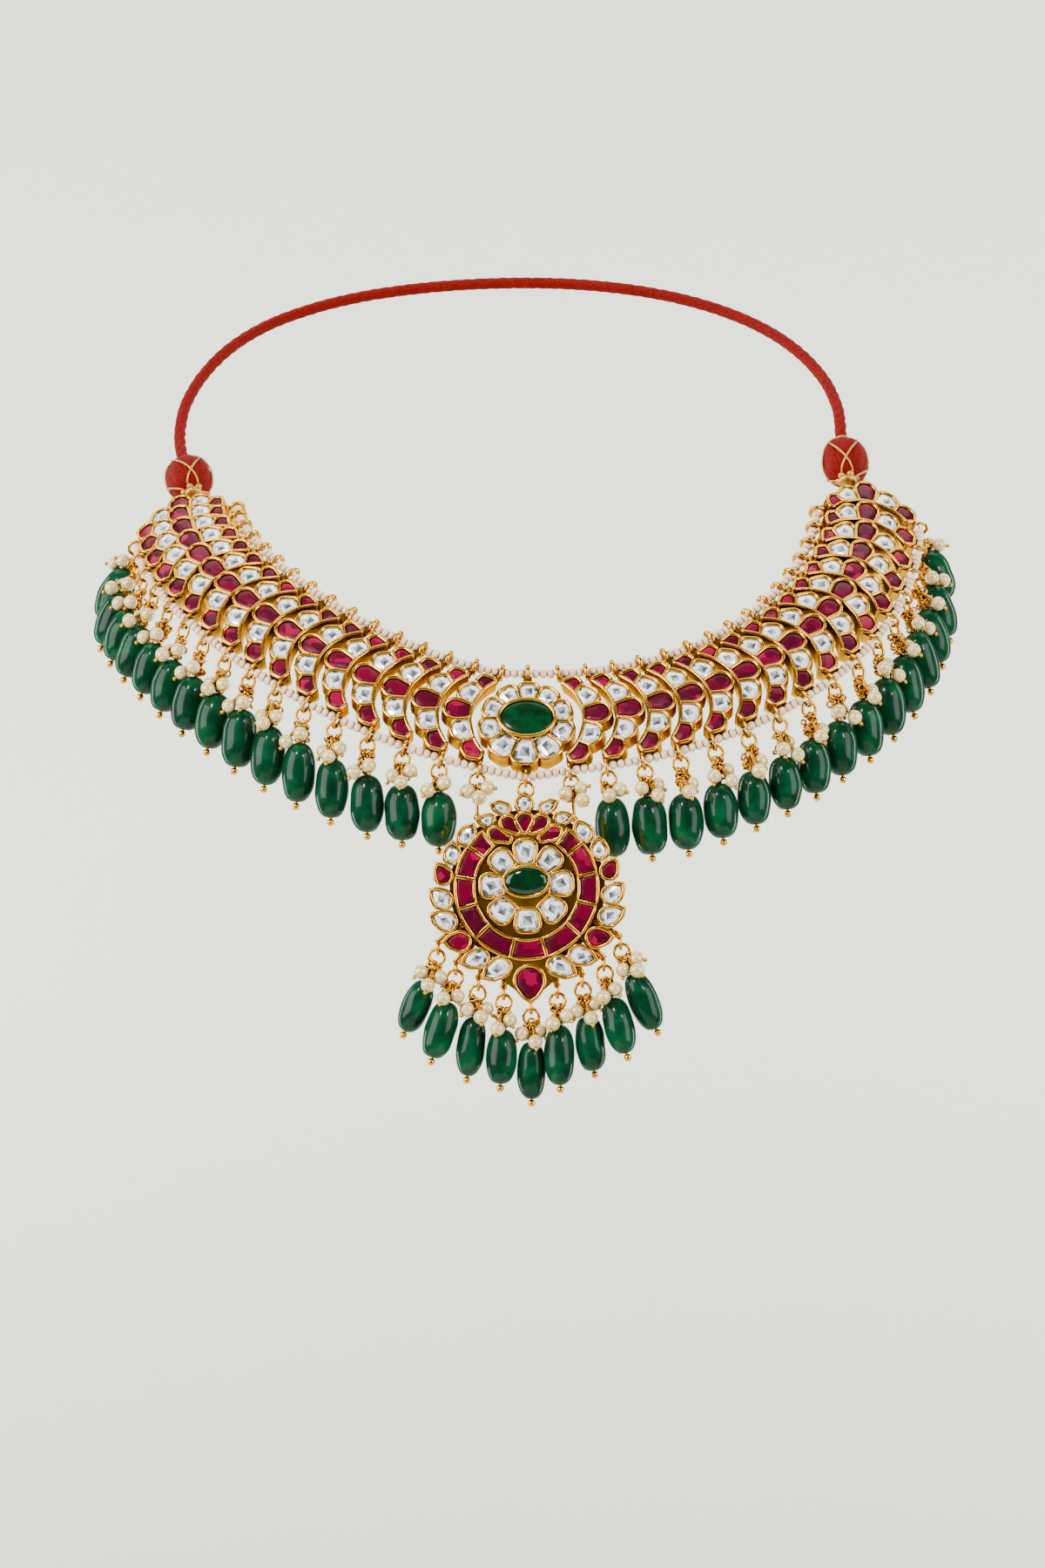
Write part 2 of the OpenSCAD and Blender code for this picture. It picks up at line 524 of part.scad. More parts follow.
module to_pendant_drop(i) {
    place = fringe_place(i);
    to_pendant() translate([place[0], place[1] - FRINGE_EYE_RADIUS, FRINGE_Z]) rotate([-90, 0, 0])
        rotate([i%2 == 0 ? FRINGE_TILT : -FRINGE_TILT, -fringe_lean(i) - PENDANT_TURN, 0]) hung() children();
}
FRINGE_REACH = 14;
FRINGE_EYE_RADIUS = 1.35;
FRINGE_NARROWER = 1.15;
function fringe_bead(i) = [bead_width*varied(4*i + 1, 0.06) - FRINGE_NARROWER, bead_length*varied(7*i, 0.1)];
module pendant_drop_wires() color("goldenrod") for (i = [-4:4]) to_pendant_drop(i)
    drop_wire(FRINGE_REACH, fringe_bead(i)[1]/2);
module pendant_green_beads() color("seagreen") for (i = [-4:4]) to_pendant_drop(i)
    translate([0, 0, -FRINGE_REACH]) green_bead(fringe_bead(i)[0], fringe_bead(i)[1]);

// A ball bound with thread, with a collar at each end. Its middle lies in the last link's plane
BALL_MIDDLE = [14.2, 4.5, -2];
COLLAR = 2.4;
BORE_DEPTH = 2;
module thread_ball(side) color("firebrick") to_link(side, link_count - 1) translate(BALL_MIDDLE)
    rotate([0, 90, 0]) difference() {
        union() {
            rotate_extrude($fn = round_sides) polygon([for (t = [-90:15:90])
                [max(0.01, ball_width/2*pow(cos(t), 0.7)), ball_length/2*sin(t)]]);
            for (end = SIDES) translate([0, 0, end*ball_length/2])
                cylinder(h = COLLAR, r = COLLAR, center = true, $fn = round_sides);
        }
        translate([0, 0, ball_length/2 - BORE_DEPTH])
            cylinder(h = 2*BORE_DEPTH, d = cord_width + 0.8, $fn = 32);
    }

// Cord from the collar of the left ball round the back of the neck to the collar of the right ball
CORD_ROUTE = [
    [-84.9, 16.1, 15.3], [-85.6, 18.1, 17], [-86.3, 20.1, 18.6], [-87.4, 23.8, 21.8], [-88, 28.5, 26.5],
    [-87.3, 34.3, 33], [-84, 40.8, 40.6], [-78, 47, 48], [-69.5, 52.7, 54.2], [-59, 57.2, 58.8],
    [-47, 60.6, 62.2], [-34, 62.9, 64.4], [-20, 64.2, 65.7], [-6, 64.6, 66.1], [8, 64, 65.6],
    [22, 62.3, 64], [35, 59.5, 61.3], [47, 55.4, 57.3], [57.5, 49.8, 52], [66, 43, 45.4],
    [72, 35.5, 38], [75, 28.5, 31.2], [75.8, 24, 27], [76, 21.2, 23.7], [76.2, 19.7, 21.6],
    [76.5, 18, 19.6],
];
module back_cord() color("firebrick") swept(with_midpoints(CORD_ROUTE), cord_width);

for (side = SIDES, n = [0:link_count - 1])
    link(side, n);
center_flower();
center_emerald();
link_stones(-1, "white", [1, 3]);  // left_link_polki
link_stones(1, "white", [1, 3]);  // right_link_polki
link_stones(-1, "crimson", [2]);  // left_link_rubies
link_stones(1, "crimson", [2]);  // right_link_rubies
top_seed_string();
low_seed_string();
drop_wires(-1);  // left_drop_wires
drop_wires(1);  // right_drop_wires
green_beads(-1);  // left_green_beads
green_beads(1);  // right_green_beads
jump_ring();
pendant_setting();
pendant_emerald();
pendant_polki();
pendant_rubies();
pendant_drop_wires();
pendant_green_beads();
thread_ball(-1);  // left_thread_ball
thread_ball(1);  // right_thread_ball
back_cord();
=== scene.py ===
"""Polki necklace: the visual model on its CAD frame.

Sizes in the tables are millimetres, as in the part's source."""

import math
import random

import bpy
from mathutils import Matrix, Quaternion, Vector


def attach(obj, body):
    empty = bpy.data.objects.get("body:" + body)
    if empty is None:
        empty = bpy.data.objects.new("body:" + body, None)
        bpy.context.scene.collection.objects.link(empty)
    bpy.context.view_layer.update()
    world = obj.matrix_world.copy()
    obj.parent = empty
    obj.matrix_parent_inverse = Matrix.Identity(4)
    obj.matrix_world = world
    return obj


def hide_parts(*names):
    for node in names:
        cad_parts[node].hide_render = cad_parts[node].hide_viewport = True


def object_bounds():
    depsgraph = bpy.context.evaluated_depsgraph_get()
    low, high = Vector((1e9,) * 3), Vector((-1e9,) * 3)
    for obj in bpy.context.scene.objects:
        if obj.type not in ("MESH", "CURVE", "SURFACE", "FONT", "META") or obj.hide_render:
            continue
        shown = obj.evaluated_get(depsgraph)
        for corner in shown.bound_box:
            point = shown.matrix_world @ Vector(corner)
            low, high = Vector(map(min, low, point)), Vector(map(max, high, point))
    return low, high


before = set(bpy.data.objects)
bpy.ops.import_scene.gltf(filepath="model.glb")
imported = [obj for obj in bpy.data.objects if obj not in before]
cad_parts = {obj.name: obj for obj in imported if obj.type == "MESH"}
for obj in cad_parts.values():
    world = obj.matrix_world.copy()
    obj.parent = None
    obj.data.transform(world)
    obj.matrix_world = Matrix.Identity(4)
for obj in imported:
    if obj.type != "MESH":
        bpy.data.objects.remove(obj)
CAD_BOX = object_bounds()
MM = 0.001

# Camera: level with the collar's front, 1.1 m away, with 5 pixels to a millimetre at the centre flower
FLOWER_MIDDLE = Vector((3.90, -56.47, -48.14))
CAMERA_AZIMUTH = 3.7
CAMERA_ELEVATION = -1.3
CAMERA_DISTANCE = 1100
CAMERA_LENS = 110
SENSOR_WIDTH = 36
PHOTO_HEIGHT = 1800
# The flower's middle in the photograph, in pixels right of and above the middle of the frame
FLOWER_PIXEL_OFFSET = (4.95, 74.3)


def make_camera():
    azimuth = math.radians(CAMERA_AZIMUTH)
    elevation = math.radians(CAMERA_ELEVATION)
    forward = Vector((-math.sin(azimuth) * math.cos(elevation), math.cos(azimuth) * math.cos(elevation),
                      -math.sin(elevation)))
    camera = bpy.data.objects.new("camera", bpy.data.cameras.new("camera"))
    camera.data.lens = CAMERA_LENS
    camera.data.sensor_width = SENSOR_WIDTH
    camera.data.shift_x = -FLOWER_PIXEL_OFFSET[0] / PHOTO_HEIGHT
    camera.data.shift_y = -FLOWER_PIXEL_OFFSET[1] / PHOTO_HEIGHT
    camera.location = (FLOWER_MIDDLE - forward * CAMERA_DISTANCE) * MM
    camera.rotation_euler = forward.to_track_quat("-Z", "Y").to_euler()
    bpy.context.collection.objects.link(camera)
    bpy.context.scene.camera = camera


make_camera()


# Nodes and colours

def linear(code):
    """An sRGB hex colour as linear red, green, blue and alpha."""
    channels = [int(code[k:k + 2], 16) / 255 for k in (1, 3, 5)]
    return [c / 12.92 if c <= 0.04045 else ((c + 0.055) / 1.055) ** 2.4 for c in channels] + [1.0]


def add_node(tree, kind, settings=None, links=None, steps=()):
    """A node with its settings and links.

    A setting is a socket where its key is a number or starts with a capital, else a property. A link's
    value is a node and the number or name of its output. Steps are a colour ramp's positions and colours."""
    node = tree.nodes.new(kind)
    sockets = {}
    for key, value in (settings or {}).items():
        if isinstance(key, int) or key[0].isupper():
            sockets[key] = value
        else:
            setattr(node, key, value)
    for key, value in sockets.items():
        node.inputs[key].default_value = value
    for key, (source, output) in (links or {}).items():
        tree.links.new(source.outputs[output], node.inputs[key])
    if steps:
        elements = node.color_ramp.elements
        while len(elements) < len(steps):
            elements.new(0.5)
        for element, (position, code) in zip(elements, steps):
            element.position = position
            element.color = linear(code)
    return node


def new_material(name, settings):
    """A material of one Principled node with these values, its tree, that node and one of coordinates."""
    material = bpy.data.materials.new(name)
    material.use_nodes = True
    tree = material.node_tree
    tree.nodes.clear()
    shader = add_node(tree, "ShaderNodeBsdfPrincipled", settings)
    add_node(tree, "ShaderNodeOutputMaterial", links={"Surface": (shader, 0)})
    place = add_node(tree, "ShaderNodeTexCoord")
    return material, tree, shader, place


def join(tree, source, output, target, socket):
    tree.links.new(source.outputs[output], target.inputs[socket])


def per_metre(size_mm):
    """Scale of a pattern that repeats every so many millimetres."""
    return 1 / (size_mm * MM)


# How much more open a surface is where it has its own tone than where its painted shade is darkest, as a
# share
GAP_FADE = 0.55


def shade_painted_in_gaps(tree, tone, gap_mm, code, open_from=0.7):
    """The tone turned to a darker one where other surfaces are close: painted shade in gaps and hollows."""
    near = add_node(tree, "ShaderNodeAmbientOcclusion", {"samples": 6, "Distance": gap_mm * MM})
    share = add_node(tree, "ShaderNodeMapRange", {"From Min": open_from - GAP_FADE, "From Max": open_from},
                     {"Value": (near, "AO")})
    return add_node(tree, "ShaderNodeMix", {"data_type": "RGBA", 6: linear(code)},
                    {0: (share, 0), 7: (tone, 0)})


# Tint of gold seen at a low angle, and the brown of the painted shade in its depths
GOLD_GLANCE = "#FFC860"
GOLD_PAINTED_SHADE = "#4A2004"
# Height of the small relief on gold and silk
RELIEF = 0.1 * MM


def cast_gold(name, gap_mm, open_from):
    """22 carat gold over lac, pressed round the stones and burnished by hand: warm yellow, soft highlights,
    tiny dents about 0.7 mm apart and brown painted shade in the depths between the trays."""
    material, tree, shader, place = new_material(name, {
        "Metallic": 1.0, "Specular Tint": linear(GOLD_GLANCE),
    })
    patches = add_node(tree, "ShaderNodeTexNoise", {"Scale": per_metre(3), "Detail": 3.0},
                       {"Vector": (place, "Object")})
    tone = add_node(tree, "ShaderNodeValToRGB", links={"Fac": (patches, 0)},
                    steps=[(0.3, "#D69A2A"), (0.7, "#EEB440")])
    # Brown painted shade where other surfaces are close
    gap_shaded = shade_painted_in_gaps(tree, tone, gap_mm, GOLD_PAINTED_SHADE, open_from)
    join(tree, gap_shaded, 2, shader, "Base Color")
    gloss = add_node(tree, "ShaderNodeMapRange", {"To Min": 0.13, "To Max": 0.3}, {"Value": (patches, 0)})
    join(tree, gloss, 0, shader, "Roughness")
    dents = add_node(tree, "ShaderNodeTexNoise", {"Scale": per_metre(0.7), "Detail": 2.0},
                     {"Vector": (place, "Object")})
    relief = add_node(tree, "ShaderNodeBump", {"Strength": 0.4, "Distance": RELIEF}, {"Height": (dents, 0)})
    join(tree, relief, 0, shader, "Normal")
    return material


def drawn_gold_wire():
    """Gold wire drawn through a plate: smoother than the cast trays, with painted shade where it is wound."""
    material, tree, shader, place = new_material("drawn_gold_wire", {
        "Metallic": 1.0, "Specular Tint": linear(GOLD_GLANCE),
    })
    marks = add_node(tree, "ShaderNodeTexNoise", {"Scale": per_metre(0.5), "Detail": 2.0},
                     {"Vector": (place, "Object")})
    tone = add_node(tree, "ShaderNodeValToRGB", links={"Fac": (marks, 0)},
                    steps=[(0.3, "#CE901E"), (0.7, "#ECB038")])
    # Brown painted shade where the wire lies close to other surfaces
    gap_shaded = shade_painted_in_gaps(tree, tone, 0.9, GOLD_PAINTED_SHADE)
    join(tree, gap_shaded, 2, shader, "Base Color")
    gloss = add_node(tree, "ShaderNodeMapRange", {"To Min": 0.12, "To Max": 0.26}, {"Value": (marks, 0)})
    join(tree, gloss, 0, shader, "Roughness")
    return material


def polki_stone():
    """Uncut diamond slice over silver foil, under a hard skin: each facet's colour is a painted reflection,
    white, grey or nearly black.
    """
    material, tree, shader, _ = new_material("foil_backed_polki_diamond", {
        "Metallic": 0.12, "Roughness": 0.12, "Coat Weight": 1.0, "Coat Roughness": 0.03,
    })
    # Each facet's shade is its painted reflection
    shade = add_node(tree, "ShaderNodeAttribute", {"attribute_name": "shade"})
    tone = add_node(tree, "ShaderNodeValToRGB", links={"Fac": (shade, "Fac")},
                    steps=[(0.0, "#16181C"), (0.35, "#4E5258"), (0.6, "#A4A8AC"), (0.85, "#FFFFFF")])
    join(tree, tone, 0, shader, "Base Color")
    return material


def ruby_stone():
    """Flat-cut ruby over pink foil: deep crimson, with foil creases about 3 mm apart that tilt its face,
    and in some of them a lighter crimson, a painted glow of the foil.
    """
    material, tree, shader, place = new_material("foil_backed_ruby", {
        "Metallic": 0.2, "Roughness": 0.32, "IOR": 1.3, "Specular IOR Level": 0.3,
        "Coat Weight": 0.1, "Coat Roughness": 0.06,
    })
    creases = add_node(tree, "ShaderNodeTexVoronoi", {"distance": "CHEBYCHEV", "Scale": per_metre(3)},
                       {"Vector": (place, "Object")})
    split = add_node(tree, "ShaderNodeSeparateColor", links={0: (creases, "Color")})
    # Lighter crimson in some cells: painted glow of the foil behind the stone
    tone = add_node(tree, "ShaderNodeValToRGB", links={"Fac": (split, 0)},
                    steps=[(0.1, "#42001A"), (0.5, "#580020"), (0.78, "#6E0028"), (0.94, "#98003A")])
    join(tree, tone, 0, shader, "Base Color")
    lean = add_node(tree, "ShaderNodeVectorMath", {"operation": "SUBTRACT", 1: (0.5, 0.5, 0.5)},
                    {0: (creases, "Color")})
    small = add_node(tree, "ShaderNodeVectorMath", {"operation": "SCALE", "Scale": 0.3}, {0: (lean, 0)})
    face = add_node(tree, "ShaderNodeNewGeometry")
    turned_face = add_node(tree, "ShaderNodeVectorMath", {"operation": "ADD"},
                           {0: (face, "Normal"), 1: (small, 0)})
    unit = add_node(tree, "ShaderNodeVectorMath", {"operation": "NORMALIZE"}, {0: (turned_face, 0)})
    join(tree, unit, 0, shader, "Normal")
    return material


def green_stone(name, codes, cloud_mm, roughness, skin, skin_roughness):
    """Dyed green quartz, tumbled and waxed: clouds of lighter green below a wet-looking skin."""
    material, tree, shader, place = new_material(name, {
        "Roughness": roughness, "IOR": 1.3, "Specular IOR Level": 0.14,
        "Coat Weight": skin, "Coat Roughness": skin_roughness,
    })
    clouds = add_node(tree, "ShaderNodeTexNoise",
                      {"Scale": per_metre(cloud_mm), "Detail": 3.0, "Distortion": 0.5},
                      {"Vector": (place, "Object")})
    tone = add_node(tree, "ShaderNodeValToRGB", links={"Fac": (clouds, 0)}, steps=codes)
    join(tree, tone, 0, shader, "Base Color")
    return material


def pearl():
    """Cream shell pearl: satin lustre with a faint warm and cool drift over about 2 mm,
    and brown painted shade where other surfaces are close.
    """
    material, tree, shader, place = new_material("cream_shell_pearl", {
        "Roughness": 0.14, "IOR": 2.1, "Coat Weight": 1.0, "Coat Roughness": 0.08,
    })
    drift = add_node(tree, "ShaderNodeTexNoise", {"Scale": per_metre(2), "Detail": 1.0},
                     {"Vector": (place, "Object")})
    tone = add_node(tree, "ShaderNodeValToRGB", links={"Fac": (drift, 0)},
                    steps=[(0.3, "#CEB062"), (0.7, "#E8D08A")])
    # Brown painted shade where other surfaces are close
    shaded = shade_painted_in_gaps(tree, tone, 1.5, "#7E4E18")
    join(tree, shaded, 2, shader, "Base Color")
    return material


def seed_bead():
    """Small rice pearls: pale peach cream, slightly waxy, with brown painted shade between them."""
    material, tree, shader, place = new_material("peach_cream_seed_pearl", {
        "Roughness": 0.34, "Coat Weight": 0.35, "Coat Roughness": 0.2,
    })
    drift = add_node(tree, "ShaderNodeTexNoise", {"Scale": per_metre(1.8), "Detail": 1.0},
                     {"Vector": (place, "Object")})
    tone = add_node(tree, "ShaderNodeValToRGB", links={"Fac": (drift, 0)},
                    steps=[(0.3, "#F8CC98"), (0.7, "#FFE2BC")])
    # Brown painted shade where the beads touch each other and the wires
    shaded = shade_painted_in_gaps(tree, tone, 1.2, "#6A3410", 0.92)
    join(tree, shaded, 2, shader, "Base Color")
    return material


def red_silk():
    """Wound silk floss: a soft sheen, fibres drawn about 0.5 mm apart and painted shade in the hollows
    between them.
    """
    material, tree, shader, place = new_material("wound_red_silk", {
        "Roughness": 0.66, "IOR": 1.3, "Specular IOR Level": 0.2,
        "Sheen Weight": 0.05, "Sheen Roughness": 0.4,
    })
    fibres = add_node(tree, "ShaderNodeTexNoise", {"Scale": per_metre(0.5), "Detail": 3.0},
                      {"Vector": (place, "Object")})
    # The colour is darker where the relief is low: painted shade in the hollows
    tone = add_node(tree, "ShaderNodeValToRGB", links={"Fac": (fibres, 0)},
                    steps=[(0.3, "#4C0301"), (0.7, "#860802")])
    join(tree, tone, 0, shader, "Base Color")
    relief = add_node(tree, "ShaderNodeBump", {"Strength": 0.5, "Distance": RELIEF}, {"Height": (fibres, 0)})
    join(tree, relief, 0, shader, "Normal")
    return material


def zari_thread():
    """Zari, a silk thread wrapped in flat gilt wire: matt gold with a fine glitter about 0.3 mm across,
    painted as lighter spots in its colour, with the roughness following the same spots.
    """
    material, tree, shader, place = new_material("gilt_zari_thread", {"Metallic": 0.9})
    glitter = add_node(tree, "ShaderNodeTexNoise", {"Scale": per_metre(0.3), "Detail": 2.0},
                       {"Vector": (place, "Object")})
    # Lighter colour in the glitter's spots: painted glints
    tone = add_node(tree, "ShaderNodeValToRGB", links={"Fac": (glitter, 0)},
                    steps=[(0.3, "#9A6A20"), (0.7, "#DDB35C")])
    join(tree, tone, 0, shader, "Base Color")
    gloss = add_node(tree, "ShaderNodeMapRange", {"To Min": 0.3, "To Max": 0.5}, {"Value": (glitter, 0)})
    join(tree, gloss, 0, shader, "Roughness")
    return material


# Both golds carry painted shade in their gaps, the band's reaching further and darker than the pendant's
GOLD = cast_gold("burnished_22_carat_gold", gap_mm=3.2, open_from=0.88)
PENDANT_GOLD = cast_gold("burnished_22_carat_gold_of_pendant", gap_mm=2.0, open_from=0.6)
WIRE = drawn_gold_wire()
POLKI = polki_stone()
RUBY = ruby_stone()
EMERALD = green_stone("smooth_green_cabochon", [(0.3, "#00180A"), (0.7, "#003416")],
                      cloud_mm=2.5, roughness=0.1, skin=0.8, skin_roughness=0.03)
FLAT_EMERALD = green_stone("flat_green_stone", [(0.3, "#001C0C"), (0.7, "#003C1A")],
                           cloud_mm=2.5, roughness=0.3, skin=0.22, skin_roughness=0.12)
GREEN_BEAD = green_stone("tumbled_green_quartz", [(0.3, "#002414"), (0.5, "#00351C"), (0.75, "#054E2C")],
                         cloud_mm=5, roughness=0.3, skin=0.26, skin_roughness=0.05)
PEARL = pearl()
SEED = seed_bead()
SILK = red_silk()
ZARI = zari_thread()


# Band: the same course as the part's source

SIDES = (-1, 1)
DOWN = Vector((0, 0, -1))
LINK_COUNT = 16
LINK_PITCH = 7.63
FIRST_LINK = 13.2
# Lift of a link's top, the share of it that each link past a certain one loses on the left, and that one
LINK_LIFT = 10
LIFT_LOSS = 0.1
LIFT_LOSS_FROM = 9
# Course by a link's number, left (-1) and right (1): factors of 1, the number, its square and its cube
HEADINGS = {-1: (5.5, 6.6, -0.33, 0.0158), 1: (12, 5.2, 0.02)}
RISES = {-1: (0, 1.4, 0, -0.0055), 1: (0, 0.1, 0.037, -0.0009)}
SLANTS = {-1: (2.4, -0.2, -0.04), 1: (-1.2, -0.78, 0.088)}
SLOPES = (66.7, 1.69, -0.087)
WIRE_WIDTH = 0.76
RING_RADIUS = 1.75
RING_GAP = 0.2
NECK_LEAN = 38
NECK_TIP = 2.5
NECK_MIDDLE = Vector((-6, 74, 3))
# Stones of a link from the top. Each is the shape round its circles, given anticlockwise as x, y and radius
LINK_STONES = (
    ((-3.3, 10.25, 0.3), (-1.69, 8, 0.3), (-0.25, 9.35, 0.3), (-1.5, 9.65, 1.25)),
    ((-0.85, 6.73, 0.4), (0.29, 3.89, 0.4), (1.8, 5.55, 1.72), (0.7, 7.15, 1.1)),
    ((0.49, 2.35, 0.35), (0.26, -0.04, 0.35), (3.55, 0.9, 2.3)),
    ((-0.05, -1.58, 0.4), (-1.2, -5.1, 0.4), (0.75, -5.55, 1.05), (1.6, -4.7, 1.45), (1.75, -3.75, 1.72)),
    ((-2.05, -6.4, 0.35), (-4.18, -8.45, 0.35), (-3.7, -10, 0.4), (-2.2, -9.2, 1.35), (-1.4, -8.35, 1.3),
     (-0.35, -7.46, 0.35)),
)
# Circle of a link's hollow edge, and the directions in which the rim along it starts and ends
HOLLOW_MIDDLE = Vector((-12.1, 1.1, 0))
HOLLOW_RADIUS = 11.65
SPINE_ENDS = (-50, 48)
TOP_EYE = Vector((-4.8, 13.8, -2))
TOP_EYE_RADIUS = 1.65
TOP_EYE_WIRE = 0.53
LOW_EYE = Vector((-4.9, -12.4, -1.6))
LOW_EYE_RADIUS = 1.86
FLOWER_HEADING = 3.3
FLOWER_PETALS = 10
FLOWER_STONE = (6.05, 4.5)
FLOWER_BEZEL = 0.9
FLOWER_TOP_EYE = Vector((0, 13.3, -2))
FLOWER_LOW_EYE = Vector((0, -14.6, -1.6))
PETAL_WALL = 0.74
# Petals of the flower: direction of the first, reach, how much less at the top and more at the sides, outer
# radius as a share of the reach, inner end past the stone's oval and its radius
FIRST_PETAL = 88
PETAL_REACH = 10.35
PETAL_TOP_LESS = 1.02
PETAL_SIDE_MORE = 0.13
PETAL_OUTER_SHARE = 0.145
PETAL_FROM_STONE = 1.25
PETAL_INNER_RADIUS = 0.3
# Turn that spreads neighbouring numbers all round
GOLDEN_ANGLE = 137.5


def turned(axis, degrees):
    return Matrix.Rotation(math.radians(degrees), 4, axis)


def moved(x, y, z):
    return Matrix.Translation((x, y, z))


def course(factors, n):
    return sum(factor * n ** power for power, factor in enumerate(factors))


def heading(side, n):
    return course(HEADINGS[side], n)


def slope(n):
    return course(SLOPES, n)


def lift(side, n):
    if side > 0:
        return LINK_LIFT
    return LINK_LIFT * (1 - LIFT_LOSS * max(0, n - LIFT_LOSS_FROM))


def link_place(side, n):
    first = math.radians(heading(side, 0) / 2)
    x, y = FIRST_LINK * math.cos(first), FIRST_LINK * math.sin(first)
    for k in range(1, n + 1):
        a = math.radians(heading(side, k - 0.5))
        x += LINK_PITCH * math.cos(a)
        y += LINK_PITCH * math.sin(a)
    return x, y, course(RISES[side], n)


TO_FRAME = turned("Y", NECK_TIP) @ turned("X", NECK_LEAN) @ moved(*(-NECK_MIDDLE))


def to_link(side, n):
    """Matrix of link n: from the middle of its front, with X away from the flower and Y up, to the frame."""
    mirror = Matrix.Diagonal((side, 1, 1, 1))
    return (TO_FRAME @ mirror @ moved(*link_place(side, n)) @ turned("Z", heading(side, n))
            @ turned("X", 90 - slope(n)) @ turned("Y", -lift(side, n)) @ turned("Z", course(SLANTS[side], n)))


TO_FLOWER = TO_FRAME @ turned("Z", FLOWER_HEADING) @ turned("X", 90 - slope(0))


def along(matrix, direction):
    return (matrix.to_3x3() @ Vector(direction)).normalized()


def below_eye(matrix, eye, drop):
    """The point this far below an eye's middle, in the plane of its wire, in the frame."""
    across = along(matrix, (1, 0, 0))
    low = (DOWN - DOWN.dot(across) * across).normalized()
    return matrix @ eye + drop * low


def varied(seed, spread):
    """A factor between 1 less the spread and 1, the same each time for the same number."""
    return 1 - spread * (0.5 + 0.5 * math.sin(math.radians(seed * GOLDEN_ANGLE)))

# Pendant: the same tables as the part's source. Columns: stone, place round the edge, distance, direction of
# the tip, round radius, tip distance
LEAVES = (
    ("polki", 15.3, 18.7, 65, 1.75, 3.3),
    ("polki", 28.8, 17.6, 84, 1.8, 2.9),
    ("polki", 47.3, 17.9, -28, 2.45, 3.3),
    ("polki", 64.1, 18.6, -2, 2.35, 3.2),
    ("ruby", 79.6, 19.3, 27, 2.35, 3.3),
    ("polki", 95.9, 19.6, 48, 2.6, 3.7),
    ("polki", 110.6, 20.0, 65, 2.65, 4.1),
    ("ruby", 126.7, 19.7, 88, 2.65, 3.95),
    ("polki", 143.4, 19.6, 105, 2.6, 4.3),
    ("polki", 159.4, 19.2, 120, 2.65, 4.9),
)
TOP_LEAF = ("polki", 0, 19.3, 0, 2.3, 2.6)
LOW_LEAF = ("ruby", 180, 21.5, 180, 3.8, 4.85)
LEAF_WALL = 0.7
LEAF_STONE_TIP = 0.15
LEAF_STONE_BACK = 0.85
LEAF_SHIFT = 0.35
LEAF_SWELL = 0.25
LEAF_SWELL_PLACE = 0.45
BLOCK_EDGES = (165, 133, 106, 79.5, 53, 37)
BLOCK_RING = (12.3, 15.9)
BLOCK_WALL = 0.7
FAN_STONES = (
    ((1.7, 12.95, 0.45), (3.75, 14.75, 1.45)),
    ((3.9, 11.05, 0.5), (6.75, 12.35, 1.3)),
)
FAN_TEAR = ((0, 12.9, 0.2), (0, 15.1, 1.7))
PENDANT_PETALS = 8
# Ends of a petal near the stone and far from it. Columns: distance, how much less at the top, radius and
# half a wall
PENDANT_PETAL_ENDS = ((5.9, 0.45, 0.35, 0.45), (8.7, 0.35, 1.55, 0.95))
PENDANT_STONE = (4.9, 3.1)
PENDANT_BEZEL = 0.7
PENDANT_FLOWER_RISE = 0.7
PENDANT_TURN = -1.8
TRAY_HEIGHT = 4
EDGE_HEIGHT = 3.6
LOOP_MIDDLE = Vector((4.032, -62.0576, -66.5098))
LOOP_HEIGHT = 20.1
LOOP_BACK = 3.2
# Drops of the pendant: degrees between them, distance of the eyes and of the lowest one, and reach
FRINGE = range(-4, 5)
FRINGE_STEP = 14.4
FRINGE_RADIUS = 24.6
FRINGE_LOW = 27.2
FRINGE_Z = 1.5
FRINGE_TILT = 4.6
FRINGE_REACH = 14
FRINGE_EYE_RADIUS = 1.35
# Degrees of lean for each square millimetre of a drop's distance from the middle
FRINGE_LEAN = 0.055
FRINGE_NARROWER = 1.15

TO_PENDANT = (moved(*LOOP_MIDDLE) @ turned("Y", PENDANT_TURN) @ turned("X", 90)
              @ moved(0, -LOOP_HEIGHT, LOOP_BACK))


def from_top(direction, distance):
    a = math.radians(direction)
    return Vector((distance * math.sin(a), distance * math.cos(a), 0))


def leaf_row(leaf, side, radius, tip, tip_radius):
    c = from_top(leaf[1], leaf[2]) - from_top(leaf[3], LEAF_SHIFT)
    t = c + from_top(leaf[3], tip - tip_radius)
    m = c.lerp(t, LEAF_SWELL_PLACE)
    swell = (side * m.x, m.y, radius + LEAF_SWELL_PLACE * (tip_radius - radius) + LEAF_SWELL * (tip - radius))
    return (side * t.x, t.y, tip_radius), swell, (side * c.x, c.y, radius), swell


def all_leaves():
    return [(TOP_LEAF, 1), (LOW_LEAF, 1)] + [(leaf, side) for side in SIDES for leaf in LEAVES]


def fan_stones():
    sides = [tuple((side * x, y, r) for x, y, r in circles) for side in SIDES for circles in FAN_STONES]
    return [FAN_TEAR] + sides


def petal_circle(a, distance, radius):
    return distance * math.cos(a), distance * math.sin(a), radius


def petal_circles(a, distance, radius, half_step, half_wall):
    """Two circles of a petal that leave half a wall's width to the line midway to the next petal."""
    off = half_step - math.asin((radius + half_wall) / distance)
    return petal_circle(a + off, distance, radius), petal_circle(a - off, distance, radius)


